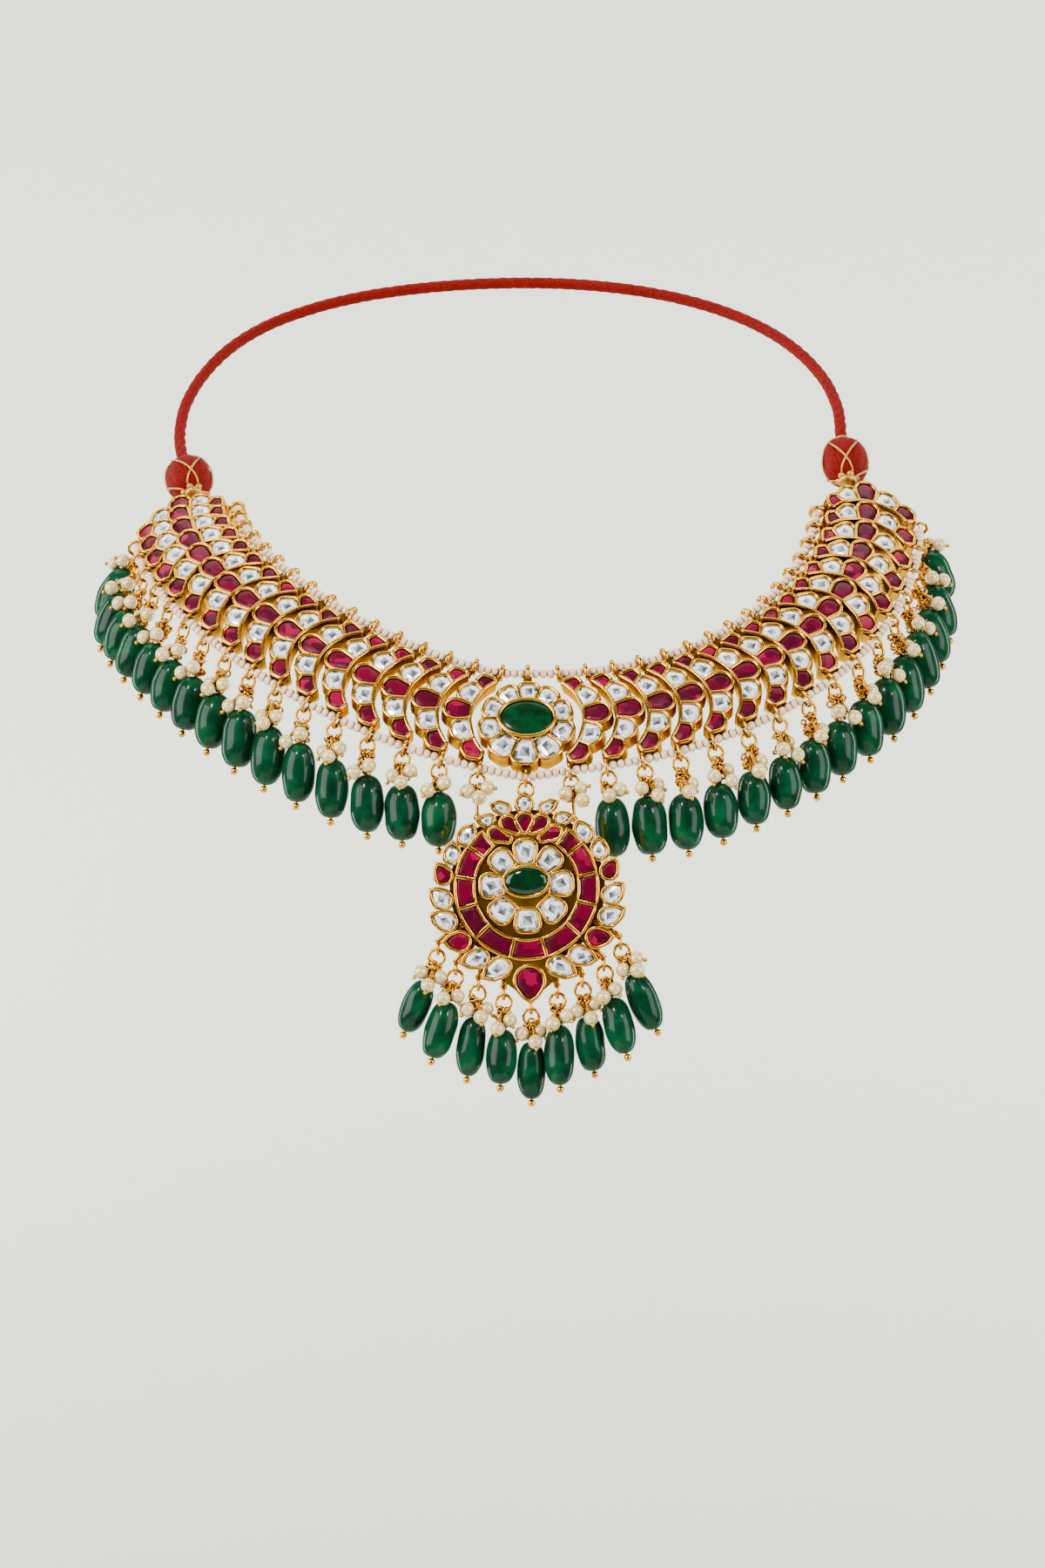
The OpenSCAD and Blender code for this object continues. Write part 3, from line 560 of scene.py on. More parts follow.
def pendant_petal(i):
    a = math.radians(90 - 360 * i / PENDANT_PETALS)
    half_step = math.pi / PENDANT_PETALS
    near, far = [petal_circles(a, distance - top_less * math.sin(a), radius, half_step, half_wall)
                 for distance, top_less, radius, half_wall in PENDANT_PETAL_ENDS]
    return [(x, y + PENDANT_FLOWER_RISE, r) for x, y, r in (near[0], near[1], far[1], far[0])]


def flower_petal(i):
    a = math.radians(FIRST_PETAL - 360 * i / FLOWER_PETALS)
    s, c = math.sin(a), math.cos(a)
    outer = PETAL_REACH - PETAL_TOP_LESS * s + PETAL_SIDE_MORE * c * c
    wide = PETAL_OUTER_SHARE * outer
    oval = 1 / math.hypot(c / FLOWER_STONE[0], s / FLOWER_STONE[1])
    half_step = math.pi / FLOWER_PETALS
    far = petal_circles(a, outer - wide, wide, half_step, PETAL_WALL / 2)
    near = petal_circles(a, oval + PETAL_FROM_STONE, PETAL_INNER_RADIUS, half_step, PETAL_WALL / 2)
    return near + (far[1], far[0])


def block_pairs():
    pairs = [(BLOCK_EDGES[0], 360 - BLOCK_EDGES[0])]
    for a, b in zip(BLOCK_EDGES[1:], BLOCK_EDGES):
        pairs.append((a, b))
        pairs.append((360 - b, 360 - a))
    return pairs


# Outlines in a plane

def full_turn(steps):
    """Directions in even steps once round."""
    return [2 * math.pi * k / steps for k in range(steps)]


def facing(a, b):
    """Direction in which the straight side between two circles faces."""
    run = math.hypot(b[0] - a[0], b[1] - a[1])
    return math.atan2(b[1] - a[1], b[0] - a[0]) - math.acos((a[2] - b[2]) / run)


def round_outline(circles, grow=0.0, step=20):
    """The outline round circles, grown by grow, with a corner for each step of so many degrees."""
    points = []
    count = len(circles)
    for i, (x, y, radius) in enumerate(circles):
        start = facing(circles[i - 1], circles[i])
        turn = (facing(circles[i], circles[(i + 1) % count]) - start) % (2 * math.pi)
        steps = max(1, round(math.degrees(turn) / step))
        for k in range(steps + 1):
            t = start + k * turn / steps
            points.append(Vector((x + (radius + grow) * math.cos(t), y + (radius + grow) * math.sin(t), 0)))
    return points


def oval_outline(size, grow=0.0, steps=40):
    return [Vector(((size[0] + grow) * math.cos(t), (size[1] + grow) * math.sin(t), 0))
            for t in full_turn(steps)]


def block_outline(start, end, grow=0.0, arc_steps=6):
    inner, outer = BLOCK_RING[0] - grow, BLOCK_RING[1] + grow
    trim_in = math.degrees((BLOCK_WALL / 2 - grow) / inner)
    trim_out = math.degrees((BLOCK_WALL / 2 - grow) / outer)
    points = []
    for k in range(arc_steps + 1):
        points.append(from_top(end - trim_out + k * (start - end + 2 * trim_out) / arc_steps, outer))
    for k in range(arc_steps, -1, -1):
        points.append(from_top(end - trim_in + k * (start - end + 2 * trim_in) / arc_steps, inner))
    return points


def evenly_spaced(outline, count):
    """The same closed outline with its points the same distance apart."""
    loop = outline + [outline[0]]
    lengths = [0.0]
    for p, q in zip(loop, loop[1:]):
        lengths.append(lengths[-1] + (q - p).length)
    points = []
    k = 0
    for i in range(count):
        target = lengths[-1] * i / count
        while lengths[k + 1] < target:
            k += 1
        share = (target - lengths[k]) / max(1e-9, lengths[k + 1] - lengths[k])
        points.append(loop[k].lerp(loop[k + 1], share))
    return points


# Shapes: corners in millimetres, faces and, for cut stones, a shade for each face, its painted reflection

def placed(shape, matrix):
    corners, faces, *shades = shape
    if matrix.to_3x3().determinant() < 0:
        faces = [tuple(reversed(face)) for face in faces]
    return [matrix @ p for p in corners], faces, *shades


def joined(shapes):
    corners, faces, shades = [], [], []
    for shape_corners, shape_faces, *shape_shades in shapes:
        start = len(corners)
        corners.extend(shape_corners)
        faces.extend(tuple(start + k for k in face) for face in shape_faces)
        shades += shape_shades
    if shades:
        return corners, faces, [shade for listed in shades for shade in listed]
    return corners, faces


def bands(rings, closed_ring=True):
    """Faces between rings of the same number of points that follow each other."""
    n = len(rings[0])
    faces = []
    for r in range(len(rings) - 1):
        for k in range(n if closed_ring else n - 1):
            j = (k + 1) % n
            faces.append((r * n + k, r * n + j, (r + 1) * n + j, (r + 1) * n + k))
    return faces


def capped(rings):
    """Faces between the rings and over the first and last of them."""
    n = len(rings[0])
    last = (len(rings) - 1) * n
    return bands(rings) + [tuple(range(n - 1, -1, -1)), tuple(range(last, last + n))]


def lathe(profile, sides):
    """A form turned about Z from pairs of radius and height, lowest first, closed at both ends."""
    rings = [[Vector((radius * math.cos(a), radius * math.sin(a), z)) for a in full_turn(sides)]
             for radius, z in profile]
    return [p for ring in rings for p in ring], capped(rings)


def ball(radius, sides, rings):
    turns = [math.pi * (k + 0.5) / rings - math.pi / 2 for k in range(rings)]
    return lathe([(radius * math.cos(t), radius * math.sin(t)) for t in turns], sides)


def tube(points, radius, sides, closed=False, up=None):
    """A round wire along the points, with its ends closed unless it is a loop."""
    count = len(points)
    rings = []
    side = None
    for i, point in enumerate(points):
        before = points[(i - 1) % count] if closed else points[max(i - 1, 0)]
        after = points[(i + 1) % count] if closed else points[min(i + 1, count - 1)]
        t = (after - before).normalized()
        if side is None:
            up = up or (Vector((0, 0, 1)) if abs(t.z) < 0.9 else Vector((1, 0, 0)))
            side = up.cross(t).normalized()
        side = (side - side.dot(t) * t).normalized()
        other = t.cross(side)
        rings.append([point + radius * (math.cos(a) * side + math.sin(a) * other) for a in full_turn(sides)])
    corners = [p for ring in rings for p in ring]
    if not closed:
        return corners, capped(rings)
    last = (count - 1) * sides
    faces = bands(rings)
    for k in range(sides):
        j = (k + 1) % sides
        faces.append((last + k, last + j, j, k))
    return corners, faces


def circle(radius, z, steps=28):
    return [Vector((radius * math.cos(a), radius * math.sin(a), z)) for a in full_turn(steps)]


RIM_HALF_WIDTH = 0.43
RIM_HEIGHT = 0.36
# Directions of the corners of a rim's section, seen along its route
RIM_SECTION = (-12, 35, 68, 90, 112, 145, 192)


def rim(route, z, height=RIM_HEIGHT, closed=True):
    """The rounded gold edge pushed over a stone, along a route that runs anticlockwise."""
    section = [(math.cos(math.radians(a)) * RIM_HALF_WIDTH, math.sin(math.radians(a)) * height)
               for a in RIM_SECTION]
    count = len(route)
    rings = []
    for i in range(count):
        before = route[i - 1] if closed or i else route[0]
        after = route[(i + 1) % count] if closed or i < count - 1 else route[i]
        t = (after - before).normalized()
        out = Vector((t.y, -t.x, 0))
        rings.append([route[i] + out * a + Vector((0, 0, z + b)) for a, b in section])
    if closed:
        rings.append(rings[0])
    corners = [p for ring in rings for p in ring]
    faces = [tuple(reversed(face)) for face in bands(rings, closed_ring=False)]
    return corners, faces


def mean(points):
    total = Vector((0, 0, 0))
    for p in points:
        total += p
    return total / len(points)


def scaled_ring(outline, middle, share, z):
    return [middle + (p - middle) * share + Vector((0, 0, z)) for p in outline]


# Cut of a polki: corners of its outline, of the ring inside it and of its middle, and the heights of its
# foot and edge from the top of its tray
POLKI_SIDES = 16
RING_CORNERS = 8
TABLE_CORNERS = 4
STONE_FOOT = -0.5
POLKI_EDGE = -0.14
# Ranges of the corners' distance from the middle, as shares of the outline's, and of their heights
RING_SHARES = ((0.76, 0.86), (0.66, 0.76))
RING_HEIGHTS = (0.0, 0.1)
TABLE_SHARES = (0.46, 0.62)
TABLE_HEIGHTS = (0.14, 0.2)
TIP_SHIFTS = (-0.15, 0.15)
TIP_HEIGHTS = (0.18, 0.26)
# Shades of the facets of a polki, painted reflections from 0 for dark to 1 for white
STAR_SHADES = (
    (0.3, 0.42, 0.6, 0.5),
    (0.5, 0.35, 0.45, 0.65),
    (0.45, 0.6, 0.5, 0.28),
    (0.55, 0.65, 0.4, 0.38),
)
SIDE_SHADES = (0.95, 0.75, 0.62, 1.0, 0.85)
EDGE_SHADES = (0.95, 0.75, 0.5, 0.9, 0.35, 1.0, 0.68)
CORNER_SHADE = 1.0
FOOT_SHADE = 0.2


def polki_crown(outline, z, seed):
    """An uncut diamond: a small four-sided middle, larger facets round it and small ones at the edge."""
    rng = random.Random(seed)
    points = evenly_spaced(outline, POLKI_SIDES)
    shift = rng.randrange(POLKI_SIDES)
    points = points[shift:] + points[:shift]
    middle = mean(points)
    foot = scaled_ring(points, middle, 1.0, STONE_FOOT)
    edge = scaled_ring(points, middle, 1.0, POLKI_EDGE)
    ring = []
    for k, p in enumerate(points[::POLKI_SIDES // RING_CORNERS]):
        share = rng.uniform(*RING_SHARES[k % 2])
        ring += scaled_ring([p], middle, share, rng.uniform(*RING_HEIGHTS))
    table = []
    for p in points[::POLKI_SIDES // TABLE_CORNERS]:
        table += scaled_ring([p], middle, rng.uniform(*TABLE_SHARES), rng.uniform(*TABLE_HEIGHTS))
    tip = middle + Vector((rng.uniform(*TIP_SHIFTS), rng.uniform(*TIP_SHIFTS), rng.uniform(*TIP_HEIGHTS)))
    corners = [p + Vector((0, 0, z)) for p in foot + edge + ring + table + [tip]]
    ring_start = 2 * POLKI_SIDES
    table_start = ring_start + RING_CORNERS
    top = table_start + TABLE_CORNERS
    faces, shades = [], []
    star = rng.choice(STAR_SHADES)
    for k in range(POLKI_SIDES):
        j = (k + 1) % POLKI_SIDES
        faces.append((k, j, POLKI_SIDES + j, POLKI_SIDES + k))
        shades.append(FOOT_SHADE)
    for k in range(RING_CORNERS):
        a, b, c = (POLKI_SIDES + (2 * k + d) % POLKI_SIDES for d in range(3))
        near, far = ring_start + k, ring_start + (k + 1) % RING_CORNERS
        faces += [(a, b, near), (b, c, far), (b, far, near)]
        tone = rng.choice(EDGE_SHADES)
        shades += [tone, rng.choice(EDGE_SHADES), tone]
    for k in range(TABLE_CORNERS):
        point, side, after = (ring_start + (2 * k + d) % RING_CORNERS for d in range(3))
        here, there = table_start + k, table_start + (k + 1) % TABLE_CORNERS
        faces += [(here, point, side), (here, side, there), (there, side, after), (top, here, there)]
        shades += [rng.choice(SIDE_SHADES), CORNER_SHADE, rng.choice(SIDE_SHADES), star[k]]
    return corners, faces, shades


def smooth_crown(outline, z, steps, count=24):
    """A smooth-topped stone through rings, given as pairs of share and height."""
    points = evenly_spaced(outline, count)
    middle = mean(points)
    rings = [scaled_ring(points, middle, share, z + height) for share, height in steps]
    corners = [p for ring in rings for p in ring]
    faces = bands(rings)
    faces.append(tuple(range((len(rings) - 1) * count, len(rings) * count)))
    return corners, faces


FLAT_CUT = ((1.0, STONE_FOOT), (1.0, -0.22), (0.93, -0.08), (0.8, 0.0), (0.55, 0.05), (0.25, 0.06))
LOW_DOME = (
    (1.0, STONE_FOOT), (1.0, -0.2), (0.93, -0.02), (0.78, 0.13), (0.55, 0.24), (0.3, 0.3), (0.12, 0.31),
)
CABOCHON = (
    (1.0, STONE_FOOT), (0.99, 0.0), (0.93, 0.28), (0.8, 0.55), (0.6, 0.75), (0.35, 0.86), (0.15, 0.89),
)
OVAL_CORNERS = 40


# Objects

def make_piece(name, shape, material, smooth=True):
    corners, faces, *shades = shape
    mesh = bpy.data.meshes.new(name)
    mesh.from_pydata([p * MM for p in corners], [], faces)
    mesh.polygons.foreach_set("use_smooth", [smooth] * len(mesh.polygons))
    mesh.materials.append(material)
    if shades:
        mesh.attributes.new("shade", "FLOAT", "FACE").data.foreach_set("value", shades[0])
    piece = bpy.data.objects.new(name, mesh)
    bpy.context.collection.objects.link(piece)
    return piece


def stands_for(piece, body, slot, *nodes):
    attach(piece, body)
    if nodes:
        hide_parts(*nodes)


# Geometry Nodes: pieces on points. Each point has its turn, its stretch and the number of its pattern

POINT_VALUES = (("turn", "QUATERNION"), ("stretch", "FLOAT_VECTOR"), ("pattern", "INT"))


def repeat_tree():
    """The pieces of a collection on points, in sizes that differ at random, as one mesh of one material."""
    tree = bpy.data.node_groups.new("pieces_on_points", "GeometryNodeTree")
    for name, kind in (("Places", "NodeSocketGeometry"), ("Patterns", "NodeSocketCollection"),
                       ("Finish", "NodeSocketMaterial"), ("Size", "NodeSocketFloat"),
                       ("Size Spread", "NodeSocketFloat"), ("Seed", "NodeSocketInt")):
        tree.interface.new_socket(name, in_out="INPUT", socket_type=kind)
    tree.interface.new_socket("Pieces", in_out="OUTPUT", socket_type="NodeSocketGeometry")
    given = add_node(tree, "NodeGroupInput")
    patterns = add_node(tree, "GeometryNodeCollectionInfo",
                        {"Separate Children": True, "Reset Children": True},
                        {"Collection": (given, "Patterns")})
    turn, stretch, pattern = [
        add_node(tree, "GeometryNodeInputNamedAttribute", {"data_type": kind, "Name": name})
        for name, kind in POINT_VALUES
    ]
    least = add_node(tree, "ShaderNodeMath", {"operation": "SUBTRACT"},
                     {0: (given, "Size"), 1: (given, "Size Spread")})
    most = add_node(tree, "ShaderNodeMath", {"operation": "ADD"},
                    {0: (given, "Size"), 1: (given, "Size Spread")})
    size = add_node(tree, "FunctionNodeRandomValue", {"data_type": "FLOAT"},
                    {2: (least, 0), 3: (most, 0), "Seed": (given, "Seed")})
    scale = add_node(tree, "ShaderNodeVectorMath", {"operation": "SCALE"},
                     {0: (stretch, 0), "Scale": (size, 1)})
    copies = add_node(tree, "GeometryNodeInstanceOnPoints", {"Pick Instance": True},
                      {"Points": (given, "Places"), "Instance": (patterns, 0), "Instance Index": (pattern, 0),
                       "Rotation": (turn, 0), "Scale": (scale, 0)})
    real = add_node(tree, "GeometryNodeRealizeInstances", links={"Geometry": (copies, 0)})
    coated = add_node(tree, "GeometryNodeSetMaterial",
                      links={"Geometry": (real, 0), "Material": (given, "Finish")})
    add_node(tree, "NodeGroupOutput", links={"Pieces": (coated, 0)})
    return tree


REPEAT = repeat_tree()


def repeated(name, shapes, places, material, smooth=True, size=1.0, spread=0.0, seed=1):
    """One mesh of the shapes set on the places: location, turn, stretch and number of the shape."""
    collection = bpy.data.collections.new(name + "_patterns")
    patterns = []
    for k, shape in enumerate(shapes):
        pattern = make_piece("%s_pattern_%02d" % (name, k), shape, material, smooth)
        bpy.context.collection.objects.unlink(pattern)
        collection.objects.link(pattern)
        patterns.append(pattern)
    mesh = bpy.data.meshes.new(name)
    mesh.from_pydata([middle * MM for middle, _, _, _ in places], [], [])
    for value_name, kind in POINT_VALUES:
        mesh.attributes.new(value_name, kind, "POINT")
    for k, (_, turn, stretch, number) in enumerate(places):
        mesh.attributes["turn"].data[k].value = tuple(turn)
        mesh.attributes["stretch"].data[k].vector = stretch
        mesh.attributes["pattern"].data[k].value = number
    piece = bpy.data.objects.new(name, mesh)
    bpy.context.collection.objects.link(piece)
    modifier = piece.modifiers.new("repeat", "NODES")
    modifier.node_group = REPEAT
    sockets = {item.name: item.identifier for item in REPEAT.interface.items_tree if item.in_out == "INPUT"}
    modifier[sockets["Patterns"]] = collection
    modifier[sockets["Finish"]] = material
    modifier[sockets["Size"]] = float(size)
    modifier[sockets["Size Spread"]] = float(spread)
    modifier[sockets["Seed"]] = seed
    finished = bpy.data.meshes.new_from_object(piece.evaluated_get(bpy.context.evaluated_depsgraph_get()))
    piece.modifiers.remove(modifier)
    piece.data = finished
    finished.name = name
    for pattern in patterns:
        bpy.data.objects.remove(pattern)
    bpy.data.collections.remove(collection)
    return piece


def place_of(matrix, number=0, stretch=(1, 1, 1)):
    """A place from a matrix that turns but doesn't mirror."""
    return matrix.to_translation(), matrix.to_3x3().to_quaternion(), Vector(stretch), number


MIRROR = Matrix.Diagonal((-1, 1, 1, 1))


def unmirrored(matrix, side):
    """The matrix of a place on a side, mirrored back on the left, where it mirrors."""
    return matrix @ MIRROR if side < 0 else matrix


def link_places(kinds):
    """Places of the links for patterns in pairs: the right side's, then the mirrored one for the left."""
    places = []
    for side in SIDES:
        for n in range(LINK_COUNT):
            number = 2 * ((3 * n + side + 1) % kinds) + (0 if side > 0 else 1)
            places.append(place_of(unmirrored(to_link(side, n), side), number))
    return places


def in_pairs(shapes):
    pairs = []
    for shape in shapes:
        pairs += [shape, placed(shape, MIRROR)]
    return pairs


# Links: rims and stones

# How far outside its stone's outline a rim runs, and how much less than its outline a stone is drawn
RIM_OUT = 0.4
STONE_ROOM = -0.09
POLKI_ROWS = (1, 3)
RUBY_ROWS = (0, 2, 4)


def clear_of_hollow(p):
    """Keeps a rim's route on the tray, outside the link's hollow edge."""
    away = p - HOLLOW_MIDDLE
    least = HOLLOW_RADIUS + RIM_HALF_WIDTH
    return HOLLOW_MIDDLE + away * max(1.0, least / away.length)


def hollow_rim():
    """The rim that runs on along the link's hollow edge, past all its stones."""
    start, end = SPINE_ENDS
    turns = [math.radians(start + (end - start) * k / 30) for k in range(31)]
    reach = HOLLOW_RADIUS + RIM_HALF_WIDTH
    route = [HOLLOW_MIDDLE + reach * Vector((math.cos(t), math.sin(t), 0)) for t in turns]
    return rim(route, 0, closed=False)


def link_rims():
    rims = [rim([clear_of_hollow(p) for p in round_outline(circles, RIM_OUT)], 0) for circles in LINK_STONES]
    return joined(rims + [hollow_rim()])


def link_polki(seed):
    return joined([polki_crown(round_outline(LINK_STONES[k], STONE_ROOM), 0, seed + k) for k in POLKI_ROWS])


def link_rubies():
    return joined([smooth_crown(round_outline(LINK_STONES[k], STONE_ROOM), 0, FLAT_CUT) for k in RUBY_ROWS])


STONE_KINDS = 6
band_rims = repeated("link_rims", in_pairs([link_rims()]), link_places(1), GOLD)
stands_for(band_rims, "band", "gold")
band_polki = repeated("link_diamonds", in_pairs([link_polki(10 * k) for k in range(STONE_KINDS)]),
                      link_places(STONE_KINDS), POLKI, smooth=False)
stands_for(band_polki, "band", "polki", "left_link_polki", "right_link_polki")
band_rubies = repeated("link_ruby_stones", in_pairs([link_rubies()]), link_places(1), RUBY)
stands_for(band_rubies, "band", "ruby", "left_link_rubies", "right_link_rubies")


def top_eye():
    """The upper eye's wire: thicker than the drops' rings, and a gold bar between the seed beads."""
    route = [Vector((0, TOP_EYE_RADIUS * math.cos(t), TOP_EYE_RADIUS * math.sin(t))) for t in full_turn(20)]
    return tube(route, TOP_EYE_WIRE, 8, closed=True, up=Vector((1, 0, 0)))


eye_places = [place_of(unmirrored(to_link(side, n) @ moved(*TOP_EYE), side))
              for side in SIDES for n in range(LINK_COUNT)]
eye_places.append(place_of(TO_FLOWER @ moved(*FLOWER_TOP_EYE)))
top_eyes = repeated("top_eye_wires", [top_eye()], eye_places, WIRE)
stands_for(top_eyes, "band", "gold")

# Centre flower

FLOWER_BEZEL_RIM_OUT = 0.4
FLOWER_BEZEL_RIM_HEIGHT = 0.4

flower_shapes = [rim(round_outline(flower_petal(i), PETAL_WALL / 2), 0) for i in range(FLOWER_PETALS)]
flower_shapes.append(rim(oval_outline(FLOWER_STONE, FLOWER_BEZEL_RIM_OUT), FLOWER_BEZEL,
                         height=FLOWER_BEZEL_RIM_HEIGHT))
flower_rims = make_piece("flower_rims", placed(joined(flower_shapes), TO_FLOWER), GOLD)
stands_for(flower_rims, "band", "gold")
petal_stones = joined([polki_crown(round_outline(flower_petal(i), STONE_ROOM), 0, 100 + i)
                       for i in range(FLOWER_PETALS)])
flower_polki = make_piece("flower_diamonds", placed(petal_stones, TO_FLOWER), POLKI, smooth=False)
stands_for(flower_polki, "band", "polki")
flower_stone = smooth_crown(oval_outline(FLOWER_STONE), FLOWER_BEZEL, LOW_DOME, OVAL_CORNERS)
flower_emerald = make_piece("flower_green_stone", placed(flower_stone, TO_FLOWER), FLAT_EMERALD)
stands_for(flower_emerald, "band", "emerald", "center_emerald")

# Pendant. Its leaves' rims run this far inside their trays' edge and tips, and the others this far outside

LEAF_RIM_IN = 0.35
LEAF_RIM_TIP_IN = 0.15
LEAF_RIM_TIP = 0.14
SEAT_RIM_OUT = 0.33
BEZEL_RIM_OUT = 0.36


def leaf_rim(leaf, side):
    circles = leaf_row(leaf, side, leaf[4] - LEAF_RIM_IN, leaf[5] - LEAF_RIM_TIP_IN, LEAF_RIM_TIP)
    return rim(round_outline(circles), EDGE_HEIGHT)


def leaf_stone(leaf, side):
    circles = leaf_row(leaf, side, leaf[4] - LEAF_WALL, leaf[5] - LEAF_STONE_BACK, LEAF_STONE_TIP)
    return round_outline(circles, STONE_ROOM)


def pendant_oval(grow=0.0):
    return [p + Vector((0, 2 * PENDANT_FLOWER_RISE, 0)) for p in oval_outline(PENDANT_STONE, grow)]


pendant_rim_shapes = [leaf_rim(leaf, side) for leaf, side in all_leaves()]
pendant_rim_shapes += [rim(round_outline(pendant_petal(i), PETAL_WALL / 2), TRAY_HEIGHT)
                       for i in range(PENDANT_PETALS)]
pendant_rim_shapes += [rim(round_outline(circles, SEAT_RIM_OUT), TRAY_HEIGHT) for circles in fan_stones()]
pendant_rim_shapes += [rim(block_outline(a, b, SEAT_RIM_OUT), TRAY_HEIGHT) for a, b in block_pairs()]
pendant_rim_shapes.append(rim(pendant_oval(BEZEL_RIM_OUT), TRAY_HEIGHT + PENDANT_BEZEL))
pendant_rims = make_piece("pendant_rims", placed(joined(pendant_rim_shapes), TO_PENDANT), PENDANT_GOLD)
stands_for(pendant_rims, "pendant", "gold")
clear_stones = [polki_crown(leaf_stone(leaf, side), EDGE_HEIGHT, 200 + k)
                for k, (leaf, side) in enumerate(all_leaves()) if leaf[0] == "polki"]
clear_stones += [polki_crown(round_outline(pendant_petal(i), STONE_ROOM), TRAY_HEIGHT, 300 + i)
                 for i in range(PENDANT_PETALS)]
pendant_polki = make_piece("pendant_diamonds", placed(joined(clear_stones), TO_PENDANT), POLKI, smooth=False)
stands_for(pendant_polki, "pendant", "polki", "pendant_polki")
red_stones = [smooth_crown(leaf_stone(leaf, side), EDGE_HEIGHT, FLAT_CUT)
              for leaf, side in all_leaves() if leaf[0] == "ruby"]
red_stones += [smooth_crown(round_outline(circles, STONE_ROOM), TRAY_HEIGHT, FLAT_CUT)
               for circles in fan_stones()]
red_stones += [smooth_crown(block_outline(a, b, STONE_ROOM), TRAY_HEIGHT, FLAT_CUT, 32)
               for a, b in block_pairs()]
pendant_rubies = make_piece("pendant_ruby_stones", placed(joined(red_stones), TO_PENDANT), RUBY)
stands_for(pendant_rubies, "pendant", "ruby", "pendant_rubies")
pendant_stone = smooth_crown(pendant_oval(), TRAY_HEIGHT + PENDANT_BEZEL, CABOCHON, OVAL_CORNERS)
pendant_emerald = make_piece("pendant_green_stone", placed(pendant_stone, TO_PENDANT), EMERALD)
stands_for(pendant_emerald, "pendant", "emerald", "pendant_emerald")

# Drops: each has a matrix whose origin is the top of its jump ring, with Z up along the drop

HUNG = moved(0, 0, WIRE_WIDTH + RING_GAP)
BEAD_LENGTH = 13.8
BEAD_WIDTH = 8.3
DROP_REACH = 15
# The drops beside the flower and the last one of a side are shorter, the first by so much for each link
NEAR_SHORTER = 1.1
NEAR_LINKS = 3
LAST_SHORTER = 3
# The first drop of a side has no bead: its reach to its pearls, and half its height there
FIRST_REACH = 7.6
FIRST_HALF_BEAD = 1.6
# Lean of the drops. Columns: degrees at the flower, degrees more for each link, link past which they grow
DROP_LEANS = {-1: (0, 2.25, 3), 1: (5, 2.6, 8)}


def link_lean(side, n):
    start, growth, past = DROP_LEANS[side]
    return start + growth * max(0, n - past)


def link_reach(n):
    return DROP_REACH - NEAR_SHORTER * max(0, NEAR_LINKS - n) - (LAST_SHORTER if n == LINK_COUNT - 1 else 0)


def link_bead(side, n):
    return BEAD_WIDTH * varied(3 * n + side, 0.06), BEAD_LENGTH * varied(5 * n + 2 * side, 0.1)


def link_drop(side, n):
    link = to_link(side, n)
    across = along(link, (1, 0, 0))
    return (moved(*below_eye(link, LOW_EYE, LOW_EYE_RADIUS)) @ turned("Y", -side * link_lean(side, n))
            @ turned("Z", math.degrees(math.atan2(across.y, across.x))) @ HUNG)


def fringe_place(i):
    return from_top(180 - i * FRINGE_STEP, FRINGE_LOW if i == 0 else FRINGE_RADIUS)


def fringe_bead(i):
    return BEAD_WIDTH * varied(4 * i + 1, 0.06) - FRINGE_NARROWER, BEAD_LENGTH * varied(7 * i, 0.1)


def fringe_drop(i):
    place = fringe_place(i)
    lean = FRINGE_LEAN * place.x * abs(place.x)
    tilt = FRINGE_TILT if i % 2 == 0 else -FRINGE_TILT
    return (TO_PENDANT @ moved(place.x, place.y - FRINGE_EYE_RADIUS, FRINGE_Z) @ turned("X", -90)
            @ turned("Y", -lean - PENDANT_TURN) @ turned("X", tilt) @ HUNG)


# Waves of the dents in a tumbled bead, and how deep each is as a share of the width
DENT_WAVES = 4
DENT_DEPTH = 0.013
BEAD_ROWS = 20
BEAD_SIDES = 28
BEAD_END = 87


def tumbled_bead(seed):
    """A tumbled bead 1 mm long and 1 mm wide, before it is stretched, with soft dents."""
    rng = random.Random(seed)
    waves = [(rng.uniform(1, 3), rng.uniform(0, 6.28), rng.uniform(2, 5), rng.uniform(0, 6.28))
             for _ in range(DENT_WAVES)]
    fullness = rng.uniform(0.58, 0.76)
    profile = []
    for k in range(BEAD_ROWS + 1):
        t = math.radians(-BEAD_END + 2 * BEAD_END * k / BEAD_ROWS)
        profile.append((0.5 * math.cos(t) ** fullness, 0.5 * math.copysign(abs(math.sin(t)) ** 0.96, t)))
    corners, faces = lathe(profile, BEAD_SIDES)
    for p in corners:
        a = math.atan2(p.y, p.x)
        dent = sum(math.sin(round(f) * a + s) * math.sin(g * p.z * 3 + h) for f, s, g, h in waves)
        factor = 1 + DENT_DEPTH * dent
        p.x *= factor
        p.y *= factor
    return corners, faces


BEAD_KINDS = 5


def bead_places(drops):
    """Places of the beads on their drops, each turned its own way and leaning a little."""
    places = []
    rng = random.Random(77)
    for k, (matrix, reach, (width, length)) in enumerate(drops):
        lean = turned("X", rng.uniform(-2, 2)) @ turned("Y", rng.uniform(-2, 2))
        places.append(place_of(matrix @ moved(0, 0, -reach) @ lean @ turned("Z", 73 * k), k % BEAD_KINDS,
                               (width, width, length)))
    return places


